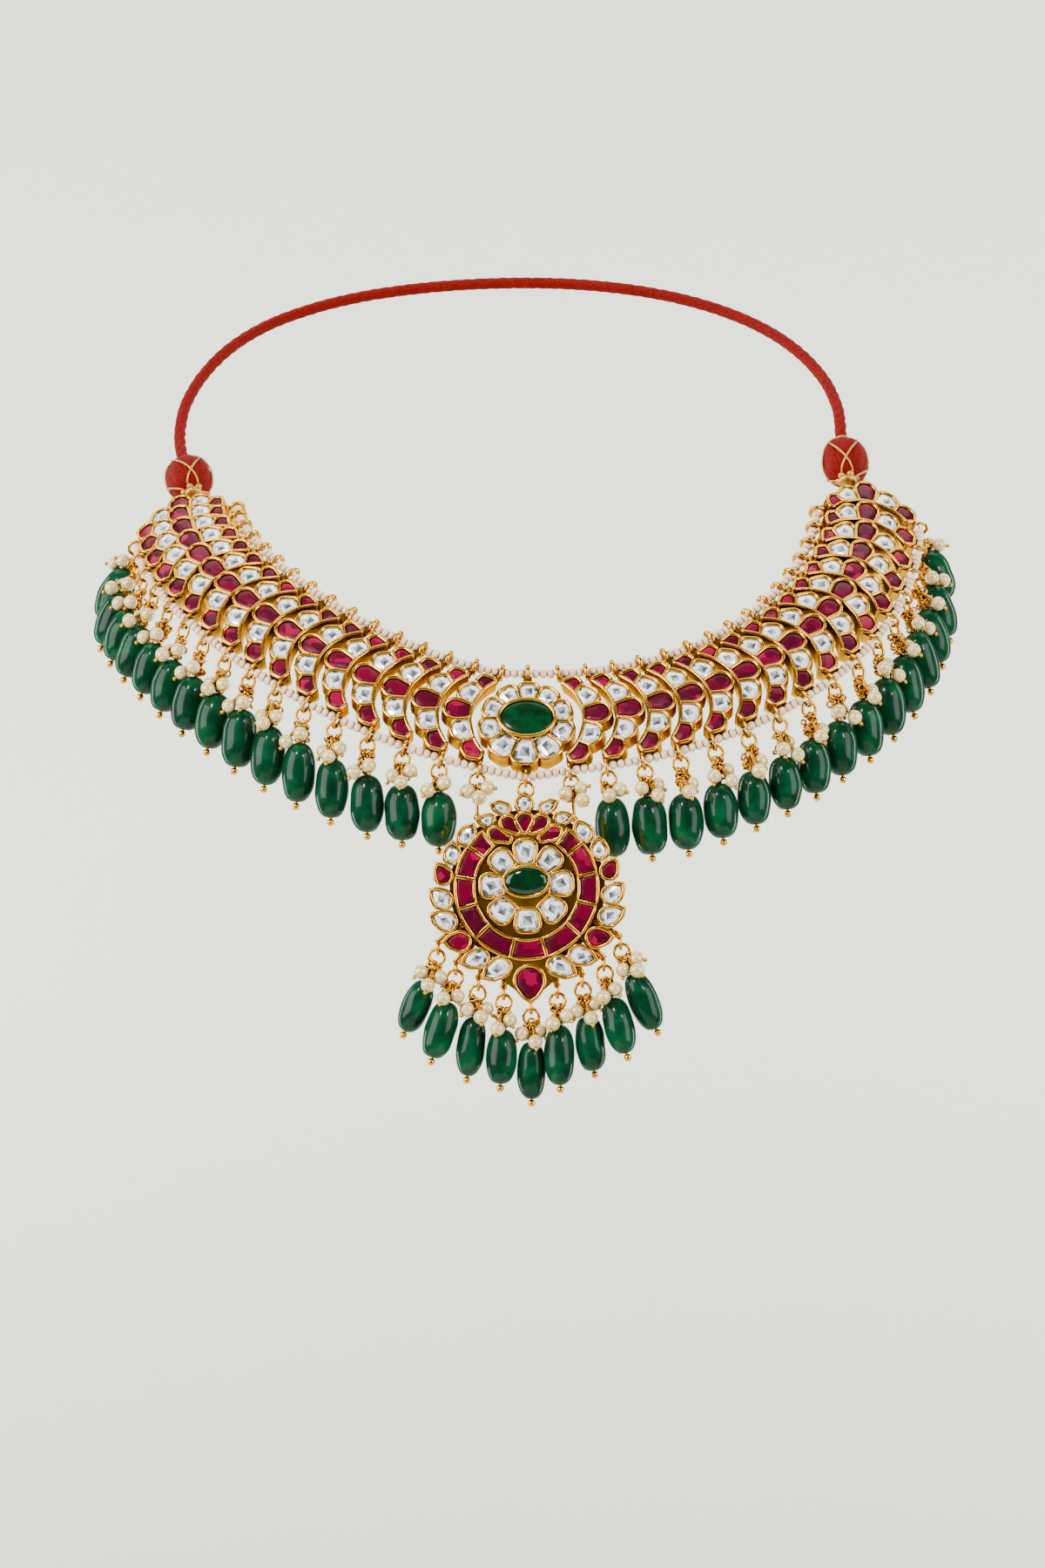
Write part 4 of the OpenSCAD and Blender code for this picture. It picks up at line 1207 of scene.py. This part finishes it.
beads = [tumbled_bead(k) for k in range(BEAD_KINDS)]
link_drops = [(link_drop(side, n), link_reach(n), link_bead(side, n))
              for side in SIDES for n in range(1, LINK_COUNT)]
fringe_drops = [(fringe_drop(i), FRINGE_REACH, fringe_bead(i)) for i in FRINGE]
band_beads = repeated("band_green_drops", beads, bead_places(link_drops), GREEN_BEAD)
stands_for(band_beads, "band", "green_bead", "left_green_beads", "right_green_beads")
fringe_beads = repeated("pendant_green_drops", beads, bead_places(fringe_drops), GREEN_BEAD)
stands_for(fringe_beads, "pendant", "green_bead", "pendant_green_beads")

# Wire work on each drop: a coil round the stem and loops on the jump ring, each with a pearl on its pin

COIL_RADIUS = 0.82
COIL_WIRE = 0.2
COIL_PITCH = 0.46
COIL_LENGTH = 3.4
COIL_UNEVEN = 0.1
PEARL_RADIUS = 1.7
PEARL_SPREAD = 0.08
PEARL_ROOM = 2 * PEARL_RADIUS + 0.05
PIN_WIRE = 0.19
PIN_BALL = 0.5
PIN_LOOP = 0.72
# Wire wound round a pin between its loop and its pearl
WINDING_RADIUS = 0.36
WINDING_WIRE = 0.17
WINDING_PITCH = 0.42
TANGLE_LOOPS = 22
TANGLE_WIRE = 0.27
TANGLE_RADII = (0.55, 0.85)
# Ranges for a drop's pearls, mirrored from drop to drop. Columns: across, out, and down from the bead's
# top, each from and to. Each second drop has only the first two
PEARL_RANGES = (
    (1.3, 2.1, 1.1, 1.9, -2.1, -1.4),
    (-0.9, -1.7, 3.2, 3.9, -0.5, 0.3),
    (-1.9, -2.6, 0.2, 0.9, -3.0, -2.0),
)
PEARL_TRIES = 30


def coil(length, seed):
    """Wire wound round a stem, downwards from the origin, a little uneven."""
    rng = random.Random(seed)
    turns = length / COIL_PITCH
    steps = int(turns * 10)
    points = []
    for k in range(steps + 1):
        a = 2 * math.pi * turns * k / steps
        r = COIL_RADIUS + COIL_UNEVEN * math.sin(a * 0.37 + rng.random() * 0.3)
        points.append(Vector((r * math.cos(a), r * math.sin(a), -length * k / steps)))
    return tube(points, COIL_WIRE, 5)


def pearl_pin(start, middle, out):
    """A pin's wire from its loop on the jump ring through a pearl, with a ball at its foot."""
    toward = (middle - start).normalized()
    foot = middle + toward * (PEARL_RADIUS + 0.42)
    loop_middle = start + toward * 0.55
    side = toward.cross(out).normalized()
    loop = [loop_middle + PIN_LOOP * (math.cos(a) * toward + math.sin(a) * out) for a in full_turn(12)]
    collar_start = loop_middle + toward * 0.75
    collar_end = middle - toward * (PEARL_RADIUS - 0.1)
    length = max(0.3, (collar_end - collar_start).length)
    turns = max(1.5, length / WINDING_PITCH)
    steps = int(turns * 9)
    winding = []
    for k in range(steps + 1):
        a = 2 * math.pi * turns * k / steps
        winding.append(collar_start + toward * (length * k / steps)
                       + WINDING_RADIUS * (math.cos(a) * side + math.sin(a) * out))
    return joined([
        tube(loop, PIN_WIRE, 5, closed=True),
        tube(winding, WINDING_WIRE, 5),
        tube([loop_middle + toward * 0.6, foot], PIN_WIRE, 5),
        placed(ball(PIN_BALL, 10, 6), moved(*foot)),
    ])


def pearls_of(k, bead_top):
    """Places of drop k's pearls, in front of its wire and on its bead's shoulder: across, out and down."""
    rng = random.Random(500 + k)
    flip = -1 if k % 2 else 1
    places = []
    for across, to_across, out, to_out, down, to_down in PEARL_RANGES[:2 if k % 2 else 3]:
        for _ in range(PEARL_TRIES):
            place = Vector((rng.uniform(flip * across, flip * to_across), rng.uniform(out, to_out),
                            bead_top + rng.uniform(down, to_down)))
            if all((place - other).length > PEARL_ROOM for other in places):
                places.append(place)
                break
    return places


def tangle(k, top, length):
    """Small loops of wire round the stem, between the jump ring and the coil."""
    rng = random.Random(900 + k)
    loops = []
    for _ in range(TANGLE_LOOPS):
        middle = Vector((rng.uniform(-1.4, 1.4), rng.uniform(-1.2, 1.2), -top - rng.uniform(-0.6, length)))
        lean = turned("Z", rng.uniform(0, 360)) @ turned("X", rng.uniform(30, 90))
        loop = tube(circle(rng.uniform(*TANGLE_RADII), 0, 12), TANGLE_WIRE, 5, closed=True)
        loops.append(placed(loop, moved(*middle) @ lean))
    return joined(loops)


def dress_drop(k, matrix, reach, half_bead, out):
    """The wire work of one drop and its pearls' middles, in the frame."""
    origin = matrix.to_translation()
    down = along(matrix, (0, 0, -1))
    out = (out - out.dot(down) * down).normalized()
    across = down.cross(out)
    ring_low = 2 * RING_RADIUS
    coil_end = reach - half_bead - 0.1
    coil_start = max(ring_low + 0.35, coil_end - COIL_LENGTH)
    shapes = [placed(coil(coil_end - coil_start, k), matrix @ moved(0, 0, -coil_start) @ turned("Z", 50 * k)),
              placed(tangle(k, ring_low, max(1.0, coil_end - ring_low - 0.6)), matrix)]
    middles = []
    for a, o, d in pearls_of(k, coil_end):
        swing = 0.35 * a
        start = origin + down * (ring_low - 0.1 * abs(swing)) + across * swing * 0.8
        middle = origin + down * d + across * a + out * o
        middles.append(middle)
        shapes.append(pearl_pin(start, middle, out))
    return joined(shapes), middles


def dressed(drops, body, seed, front_of):
    """The wire work of a body's drops, and their pearls on the side that front_of gives for a drop."""
    wires, middles = [], []
    for k, (matrix, reach, half_bead) in enumerate(drops):
        shape, found = dress_drop(seed + k, matrix, reach, half_bead, front_of(matrix))
        wires.append(shape)
        middles += found
    work = make_piece(body + "_wire_work", joined(wires), WIRE)
    stands_for(work, body, "gold")
    places = [(middle, Quaternion(), Vector((1, 1, 1)), 0) for middle in middles]
    pearls = repeated(body + "_pearls", [ball(1.0, 16, 10)], places, PEARL, size=PEARL_RADIUS,
                      spread=PEARL_SPREAD, seed=seed)
    stands_for(pearls, body, "seed_bead")


def out_from_neck(matrix):
    place = matrix.to_translation()
    return Vector((place.x, place.y, 0)).normalized()


def to_the_front(matrix):
    return Vector((0, -1, 0))


band_dress = [(link_drop(side, n), FIRST_REACH if n == 0 else link_reach(n),
               FIRST_HALF_BEAD if n == 0 else link_bead(side, n)[1] / 2)
              for side in SIDES for n in range(LINK_COUNT)]
fringe_dress = [(matrix, reach, size[1] / 2) for matrix, reach, size in fringe_drops]

# Hooks on the pendant's back: where their wires run along a bar, across it and in depth
HOOK_WIRE = 0.42
HOOK_ACROSS = (-0.36, 0.36)
HOOK_DEPTHS = (-0.35, 0.15)
HOOK_TOP = 0.3
HOOK_LENGTH = 8.1
HOOK_STEPS = 6


def hook_wires():
    """Four wires along each bar that holds a drop's eye on the pendant's back, as a hook bent double."""
    wires = []
    for i in FRINGE:
        start = fringe_place(i) + Vector((0, FRINGE_EYE_RADIUS, FRINGE_Z))
        to_bar = moved(*start) @ turned("Z", i * FRINGE_STEP - 180)
        for across in HOOK_ACROSS:
            for depth in HOOK_DEPTHS:
                route = [Vector((across, HOOK_TOP - HOOK_LENGTH * k / HOOK_STEPS, depth))
                         for k in range(HOOK_STEPS + 1)]
                wires.append(placed(tube(route, HOOK_WIRE, 8), to_bar))
    return joined(wires)


pendant_hooks = make_piece("pendant_hook_wires", placed(hook_wires(), TO_PENDANT), WIRE)
stands_for(pendant_hooks, "pendant", "gold")
dressed(band_dress, "band", 0, out_from_neck)
dressed(fringe_dress, "pendant", 60, to_the_front)

# Strings of seed beads between the eyes, on their thread

SEED_LENGTH = 1.75
# Pairs of radius and height from which a seed bead is turned
SEED_PROFILE = (
    (0.35, -0.86), (0.72, -0.76), (1.0, -0.46), (1.12, 0.0), (1.0, 0.46), (0.72, 0.76), (0.35, 0.86),
)
# Room that an eye's wire takes on each side, and how much of it the beads' ends use again
EYE_ROOM = 0.45
END_ROOM = 0.35
STRING_RISE = 0.3
THREAD = 0.2
TOP_STRING_END = ((-3, 14, -3.4), (-0.9, 12.8, -5.2), (2.6, 9.6, -5.6), (6.2, 6.4, -4.6))
LOW_STRING_END = ((-3.2, -12, -1.6), (-1.6, -12.6, -2.7), (-0.6, -11.8, -4.7), (-0.2, -9.2, -5.6),
                  (2.6, -3.4, -5.6), (6, 1.6, -4.8))


def string_points(eye, flower_eye, up, flower_up):
    """Where a string goes through the eyes, from left to right, this far above their middles."""
    left, right = [[below_eye(to_link(side, n), eye, -up) for n in range(LINK_COUNT)] for side in SIDES]
    return left[::-1] + [below_eye(TO_FLOWER, flower_eye, -flower_up)] + right


def seed_string(name, points, tail, node, seed):
    """The beads between each two points, and their thread with a tail behind the last link of each side."""
    places = []
    for a, b in zip(points, points[1:]):
        room = (b - a).length - 2 * EYE_ROOM + END_ROOM
        count = max(1, int(room / SEED_LENGTH))
        toward = (b - a).normalized()
        turn = Vector((0, 0, 1)).rotation_difference(toward)
        pitch = min(SEED_LENGTH, room / count)
        middle = (a + b) / 2
        for k in range(count):
            centre = middle + toward * pitch * (k - (count - 1) / 2)
            places.append((centre, turn, Vector((1, 1, pitch / SEED_LENGTH)), 0))
    string_beads = repeated(name + "_beads", [lathe(SEED_PROFILE, 14)], places, SEED, size=1.02, spread=0.03,
                            seed=seed)
    stands_for(string_beads, "band", "seed_bead", node)
    left, right = [[to_link(side, LINK_COUNT - 1) @ Vector(p) for p in tail] for side in SIDES]
    thread = make_piece(name + "_thread", tube(left[::-1] + points + right, THREAD, 6), SEED)
    stands_for(thread, "band", "seed_bead")


seed_string("top_string", string_points(TOP_EYE, FLOWER_TOP_EYE, 0, 0), TOP_STRING_END, "top_seed_string", 3)
seed_string("low_string", string_points(LOW_EYE, FLOWER_LOW_EYE, STRING_RISE, STRING_RISE / 2),
            LOW_STRING_END, "low_seed_string", 4)

# Thread balls: silk in lobes, crossing gilt cords, knots at the near end and a ridged collar at the far end

BALL_WIDTH = 11.6
BALL_LENGTH = 12.4
BALL_MIDDLE = Vector((14.2, 4.5, -2))
BALL_FULLNESS = 0.7
BALL_END = 80
BALL_ROWS = 22
LOBES = 8
STRANDS = 72
# Shares of the ball's radius: silk at its lowest, and what a strand and a lobe add
SILK_LOW = 0.9
STRAND_RELIEF = 0.015
LOBE_RELIEF = 0.085
CORD_WIRE = 0.26
CORD_TURN = 100
CORD_END = 74
CORD_STEPS = 24
# Directions in which the gilt cords that turn one way and the other cross the middle
CORD_STARTS = (0, 90, 180, 270)
COUNTER_STARTS = (20, 140, 260)
# Knots at the near end and beads at the far end. Columns: radius, sides, rows, count, distance from the
# axis and in from the end
NEAR_KNOTS = (0.95, 10, 6, 6, 2.1, 0.5)
FAR_BEADS = (0.42, 8, 5, 18, 2.45, 0.45)
# Cap over the near end: pairs of radius and distance in from the end
NEAR_CAP = ((1.6, -1.2), (2.1, -0.9), (2.3, -0.2), (2.2, 0.9))
# Ridges of the collar at the far end: pairs of radius and distance past the end
COLLAR_RIDGES = ((2.05, 0.2), (1.95, 0.75))
RIDGE_WIRE = 0.36


def ball_radius(t):
    return BALL_WIDTH / 2 * max(0.0, math.cos(t)) ** BALL_FULLNESS


def silk_ball():
    """The silk: an oval form whose radius swells with each lobe and a little with each strand."""
    profile = []
    for k in range(BALL_ROWS + 1):
        t = math.radians(-BALL_END + 2 * BALL_END * k / BALL_ROWS)
        profile.append((ball_radius(t) * 0.985, BALL_LENGTH / 2 * math.sin(t)))
    corners, faces = lathe(profile, 3 * STRANDS)
    for p in corners:
        a = math.atan2(p.y, p.x)
        strand = abs(math.sin(STRANDS * a / 2))
        lobe = abs(math.sin(LOBES * a / 2)) ** 0.5
        factor = SILK_LOW + STRAND_RELIEF * strand + LOBE_RELIEF * lobe
        p.x *= factor
        p.y *= factor
    return corners, faces


def crossing_cord(start, turn):
    points = []
    for k in range(CORD_STEPS + 1):
        t = math.radians(-CORD_END + 2 * CORD_END * k / CORD_STEPS)
        a = math.radians(start + turn * (k / CORD_STEPS - 0.5))
        r = ball_radius(t) + 0.02
        points.append(Vector((r * math.cos(a), r * math.sin(a), BALL_LENGTH / 2 * math.sin(t))))
    return tube(points, CORD_WIRE, 7)


def ring_of_balls(row, end, inward):
    radius, sides, rows, count, distance, depth = row
    shape = ball(radius, sides, rows)
    return joined([placed(shape, moved(distance * math.cos(a), distance * math.sin(a), end + inward * depth))
                   for a in full_turn(count)])


def ball_trim():
    near, far = -BALL_LENGTH / 2, BALL_LENGTH / 2
    trim = [crossing_cord(start, CORD_TURN) for start in CORD_STARTS]
    trim += [crossing_cord(start, -CORD_TURN) for start in COUNTER_STARTS]
    trim.append(ring_of_balls(NEAR_KNOTS, near, 1))
    trim.append(lathe([(radius, near + depth) for radius, depth in NEAR_CAP], 24))
    trim.append(ring_of_balls(FAR_BEADS, far, -1))
    trim += [tube(circle(radius, far + past), RIDGE_WIRE, 8, closed=True, up=Vector((0, 0, 1)))
             for radius, past in COLLAR_RIDGES]
    return joined(trim)


for side, word in ((-1, "left"), (1, "right")):
    to_ball = to_link(side, LINK_COUNT - 1) @ moved(*BALL_MIDDLE) @ turned("Y", 90)
    silk = make_piece(word + "_silk_ball", placed(silk_ball(), to_ball), SILK)
    stands_for(silk, "band", "red_silk", word + "_thread_ball")
    trim = make_piece(word + "_ball_trim", placed(ball_trim(), to_ball), ZARI)
    stands_for(trim, "band", "gold")

# Cord round the back of the neck, along the same route as in the part's source

CORD_WIDTH = 3
CORD_ROUTE = (
    (-84.9, 16.1, 15.3), (-85.6, 18.1, 17), (-86.3, 20.1, 18.6), (-87.4, 23.8, 21.8), (-88, 28.5, 26.5),
    (-87.3, 34.3, 33), (-84, 40.8, 40.6), (-78, 47, 48), (-69.5, 52.7, 54.2), (-59, 57.2, 58.8),
    (-47, 60.6, 62.2), (-34, 62.9, 64.4), (-20, 64.2, 65.7), (-6, 64.6, 66.1), (8, 64, 65.6),
    (22, 62.3, 64), (35, 59.5, 61.3), (47, 55.4, 57.3), (57.5, 49.8, 52), (66, 43, 45.4),
    (72, 35.5, 38), (75, 28.5, 31.2), (75.8, 24, 27), (76, 21.2, 23.7), (76.2, 19.7, 21.6),
    (76.5, 18, 19.6),
)


def finer(points, parts):
    """More points on the smooth curve through the points of a route."""
    fine = []
    last = len(points) - 1
    for i in range(last):
        p0, p1, p2, p3 = points[max(i - 1, 0)], points[i], points[i + 1], points[min(i + 2, last)]
        for k in range(parts):
            t = k / parts
            fine.append(0.5 * (2 * p1 + (p2 - p0) * t + (2 * p0 - 5 * p1 + 4 * p2 - p3) * t * t
                               + (3 * p1 - p0 - 3 * p2 + p3) * t ** 3))
    fine.append(points[last])
    return fine


def rope(points, radius, sides, plies, pitch):
    """A twisted cord: round, with a hollow between each two plies."""
    corners, faces = tube(points, radius, sides)
    run = 0.0
    for i, centre in enumerate(points):
        if i:
            run += (centre - points[i - 1]).length
        for k in range(sides):
            a = 2 * math.pi * (k / sides - run / pitch)
            hollow = 0.8 + 0.2 * abs(math.sin(plies * a / 2)) ** 0.6
            p = corners[i * sides + k]
            corners[i * sides + k] = centre + (p - centre) * hollow
    return corners, faces


cord_route = finer([Vector(p) for p in CORD_ROUTE], 12)
neck_cord = make_piece("neck_cord", rope(cord_route, CORD_WIDTH / 2, sides=18, plies=3, pitch=9), SILK)
stands_for(neck_cord, "band", "red_silk", "back_cord")

# The solids that stay get their finish

for name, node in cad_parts.items():
    wired = "drop_wires" in name or name == "jump_ring"
    finish = WIRE if wired else PENDANT_GOLD if name == "pendant_setting" else GOLD
    for cad_slot in node.material_slots:
        cad_slot.material = finish

# Studio, in metres: a pale floor well below that curves up behind, soft lights at the left, right and top,
# two small lamps for sparkle, and two lights behind the necklace that face the backdrop alone

# Far enough back that a view from behind, from 1.6 m, is still in front of it
BACKDROP_DEPTH = 2.45
BACKDROP_HEIGHT = 4.1
BACKDROP_BEND = 0.5
FLOOR_BELOW = 0.55
FLOOR_FRONT = -1.0
# Half the floor's width: this much, and further back this share of the distance
FLOOR_HALF = 0.8
FLOOR_SPREAD = 0.571
AIM = (0, -0.05, -0.05)
BACKDROP_AIM = (0, BACKDROP_DEPTH, -0.09)
# Columns: name, place, size, watts, what it faces
LIGHTS = (
    ("key_softbox", (-1.1, -0.8, 0.25), (1.1, 1.2), 36, AIM),
    ("fill_softbox", (1.15, -0.75, 0.15), (0.8, 1.2), 20, AIM),
    ("top_softbox", (0.0, 0.15, 1.1), (1.4, 0.8), 14, AIM),
    ("left_small_lamp", (-0.4, -1.0, 0.75), (0.18, 0.18), 9, AIM),
    ("right_small_lamp", (0.6, -0.9, 0.45), (0.12, 0.12), 3, AIM),
    ("left_backdrop_light", (-1.75, 0.7, -0.09), (0.525, 2.8), 113, BACKDROP_AIM),
    ("right_backdrop_light", (1.75, 0.7, -0.09), (0.525, 2.8), 113, BACKDROP_AIM),
)


def make_floor():
    bend_start = BACKDROP_DEPTH - BACKDROP_BEND
    profile = [(FLOOR_FRONT, 0.0), (1.0, 0.0), (bend_start, 0.0)]
    for k in range(1, 13):
        a = math.radians(90 * k / 12)
        profile.append((bend_start + BACKDROP_BEND * math.sin(a),
                        BACKDROP_BEND - BACKDROP_BEND * math.cos(a)))
    profile.append((BACKDROP_DEPTH, BACKDROP_HEIGHT))
    low = CAD_BOX[0][2] - FLOOR_BELOW
    corners, faces = [], []
    for y, z in profile:
        half = max(FLOOR_HALF, FLOOR_SPREAD * y)
        corners += [Vector((-half, y, low + z)) / MM, Vector((half, y, low + z)) / MM]
    for k in range(len(profile) - 1):
        faces.append((2 * k, 2 * k + 1, 2 * k + 3, 2 * k + 2))
    paper, _, _, _ = new_material("matt_pale_paper", {"Base Color": linear("#E2E4D8"), "Roughness": 0.95})
    floor = make_piece("floor", (corners, faces), paper)


def make_light(name, location, size, watts, target):
    light = bpy.data.lights.new(name, "AREA")
    light.shape = "RECTANGLE"
    light.size, light.size_y = size
    light.energy = watts
    lamp = bpy.data.objects.new(name, light)
    lamp.location = location
    lamp.rotation_euler = (Vector(target) - Vector(location)).to_track_quat("-Z", "Y").to_euler()
    bpy.context.collection.objects.link(lamp)


def make_world():
    """Surroundings that are dim as light on the stones, and pale where they are seen beside the backdrop."""
    world = bpy.data.worlds.new("studio")
    world.use_nodes = True
    tree = world.node_tree
    around = tree.nodes["Background"]
    around.inputs[0].default_value = linear("#F2F2EF")
    seen = add_node(tree, "ShaderNodeLightPath")
    strength = add_node(tree, "ShaderNodeMapRange", {"To Min": 0.15, "To Max": 1.6},
                        {"Value": (seen, "Is Camera Ray")})
    join(tree, strength, 0, around, "Strength")
    bpy.context.scene.world = world


make_floor()
for light_row in LIGHTS:
    make_light(*light_row)
make_world()
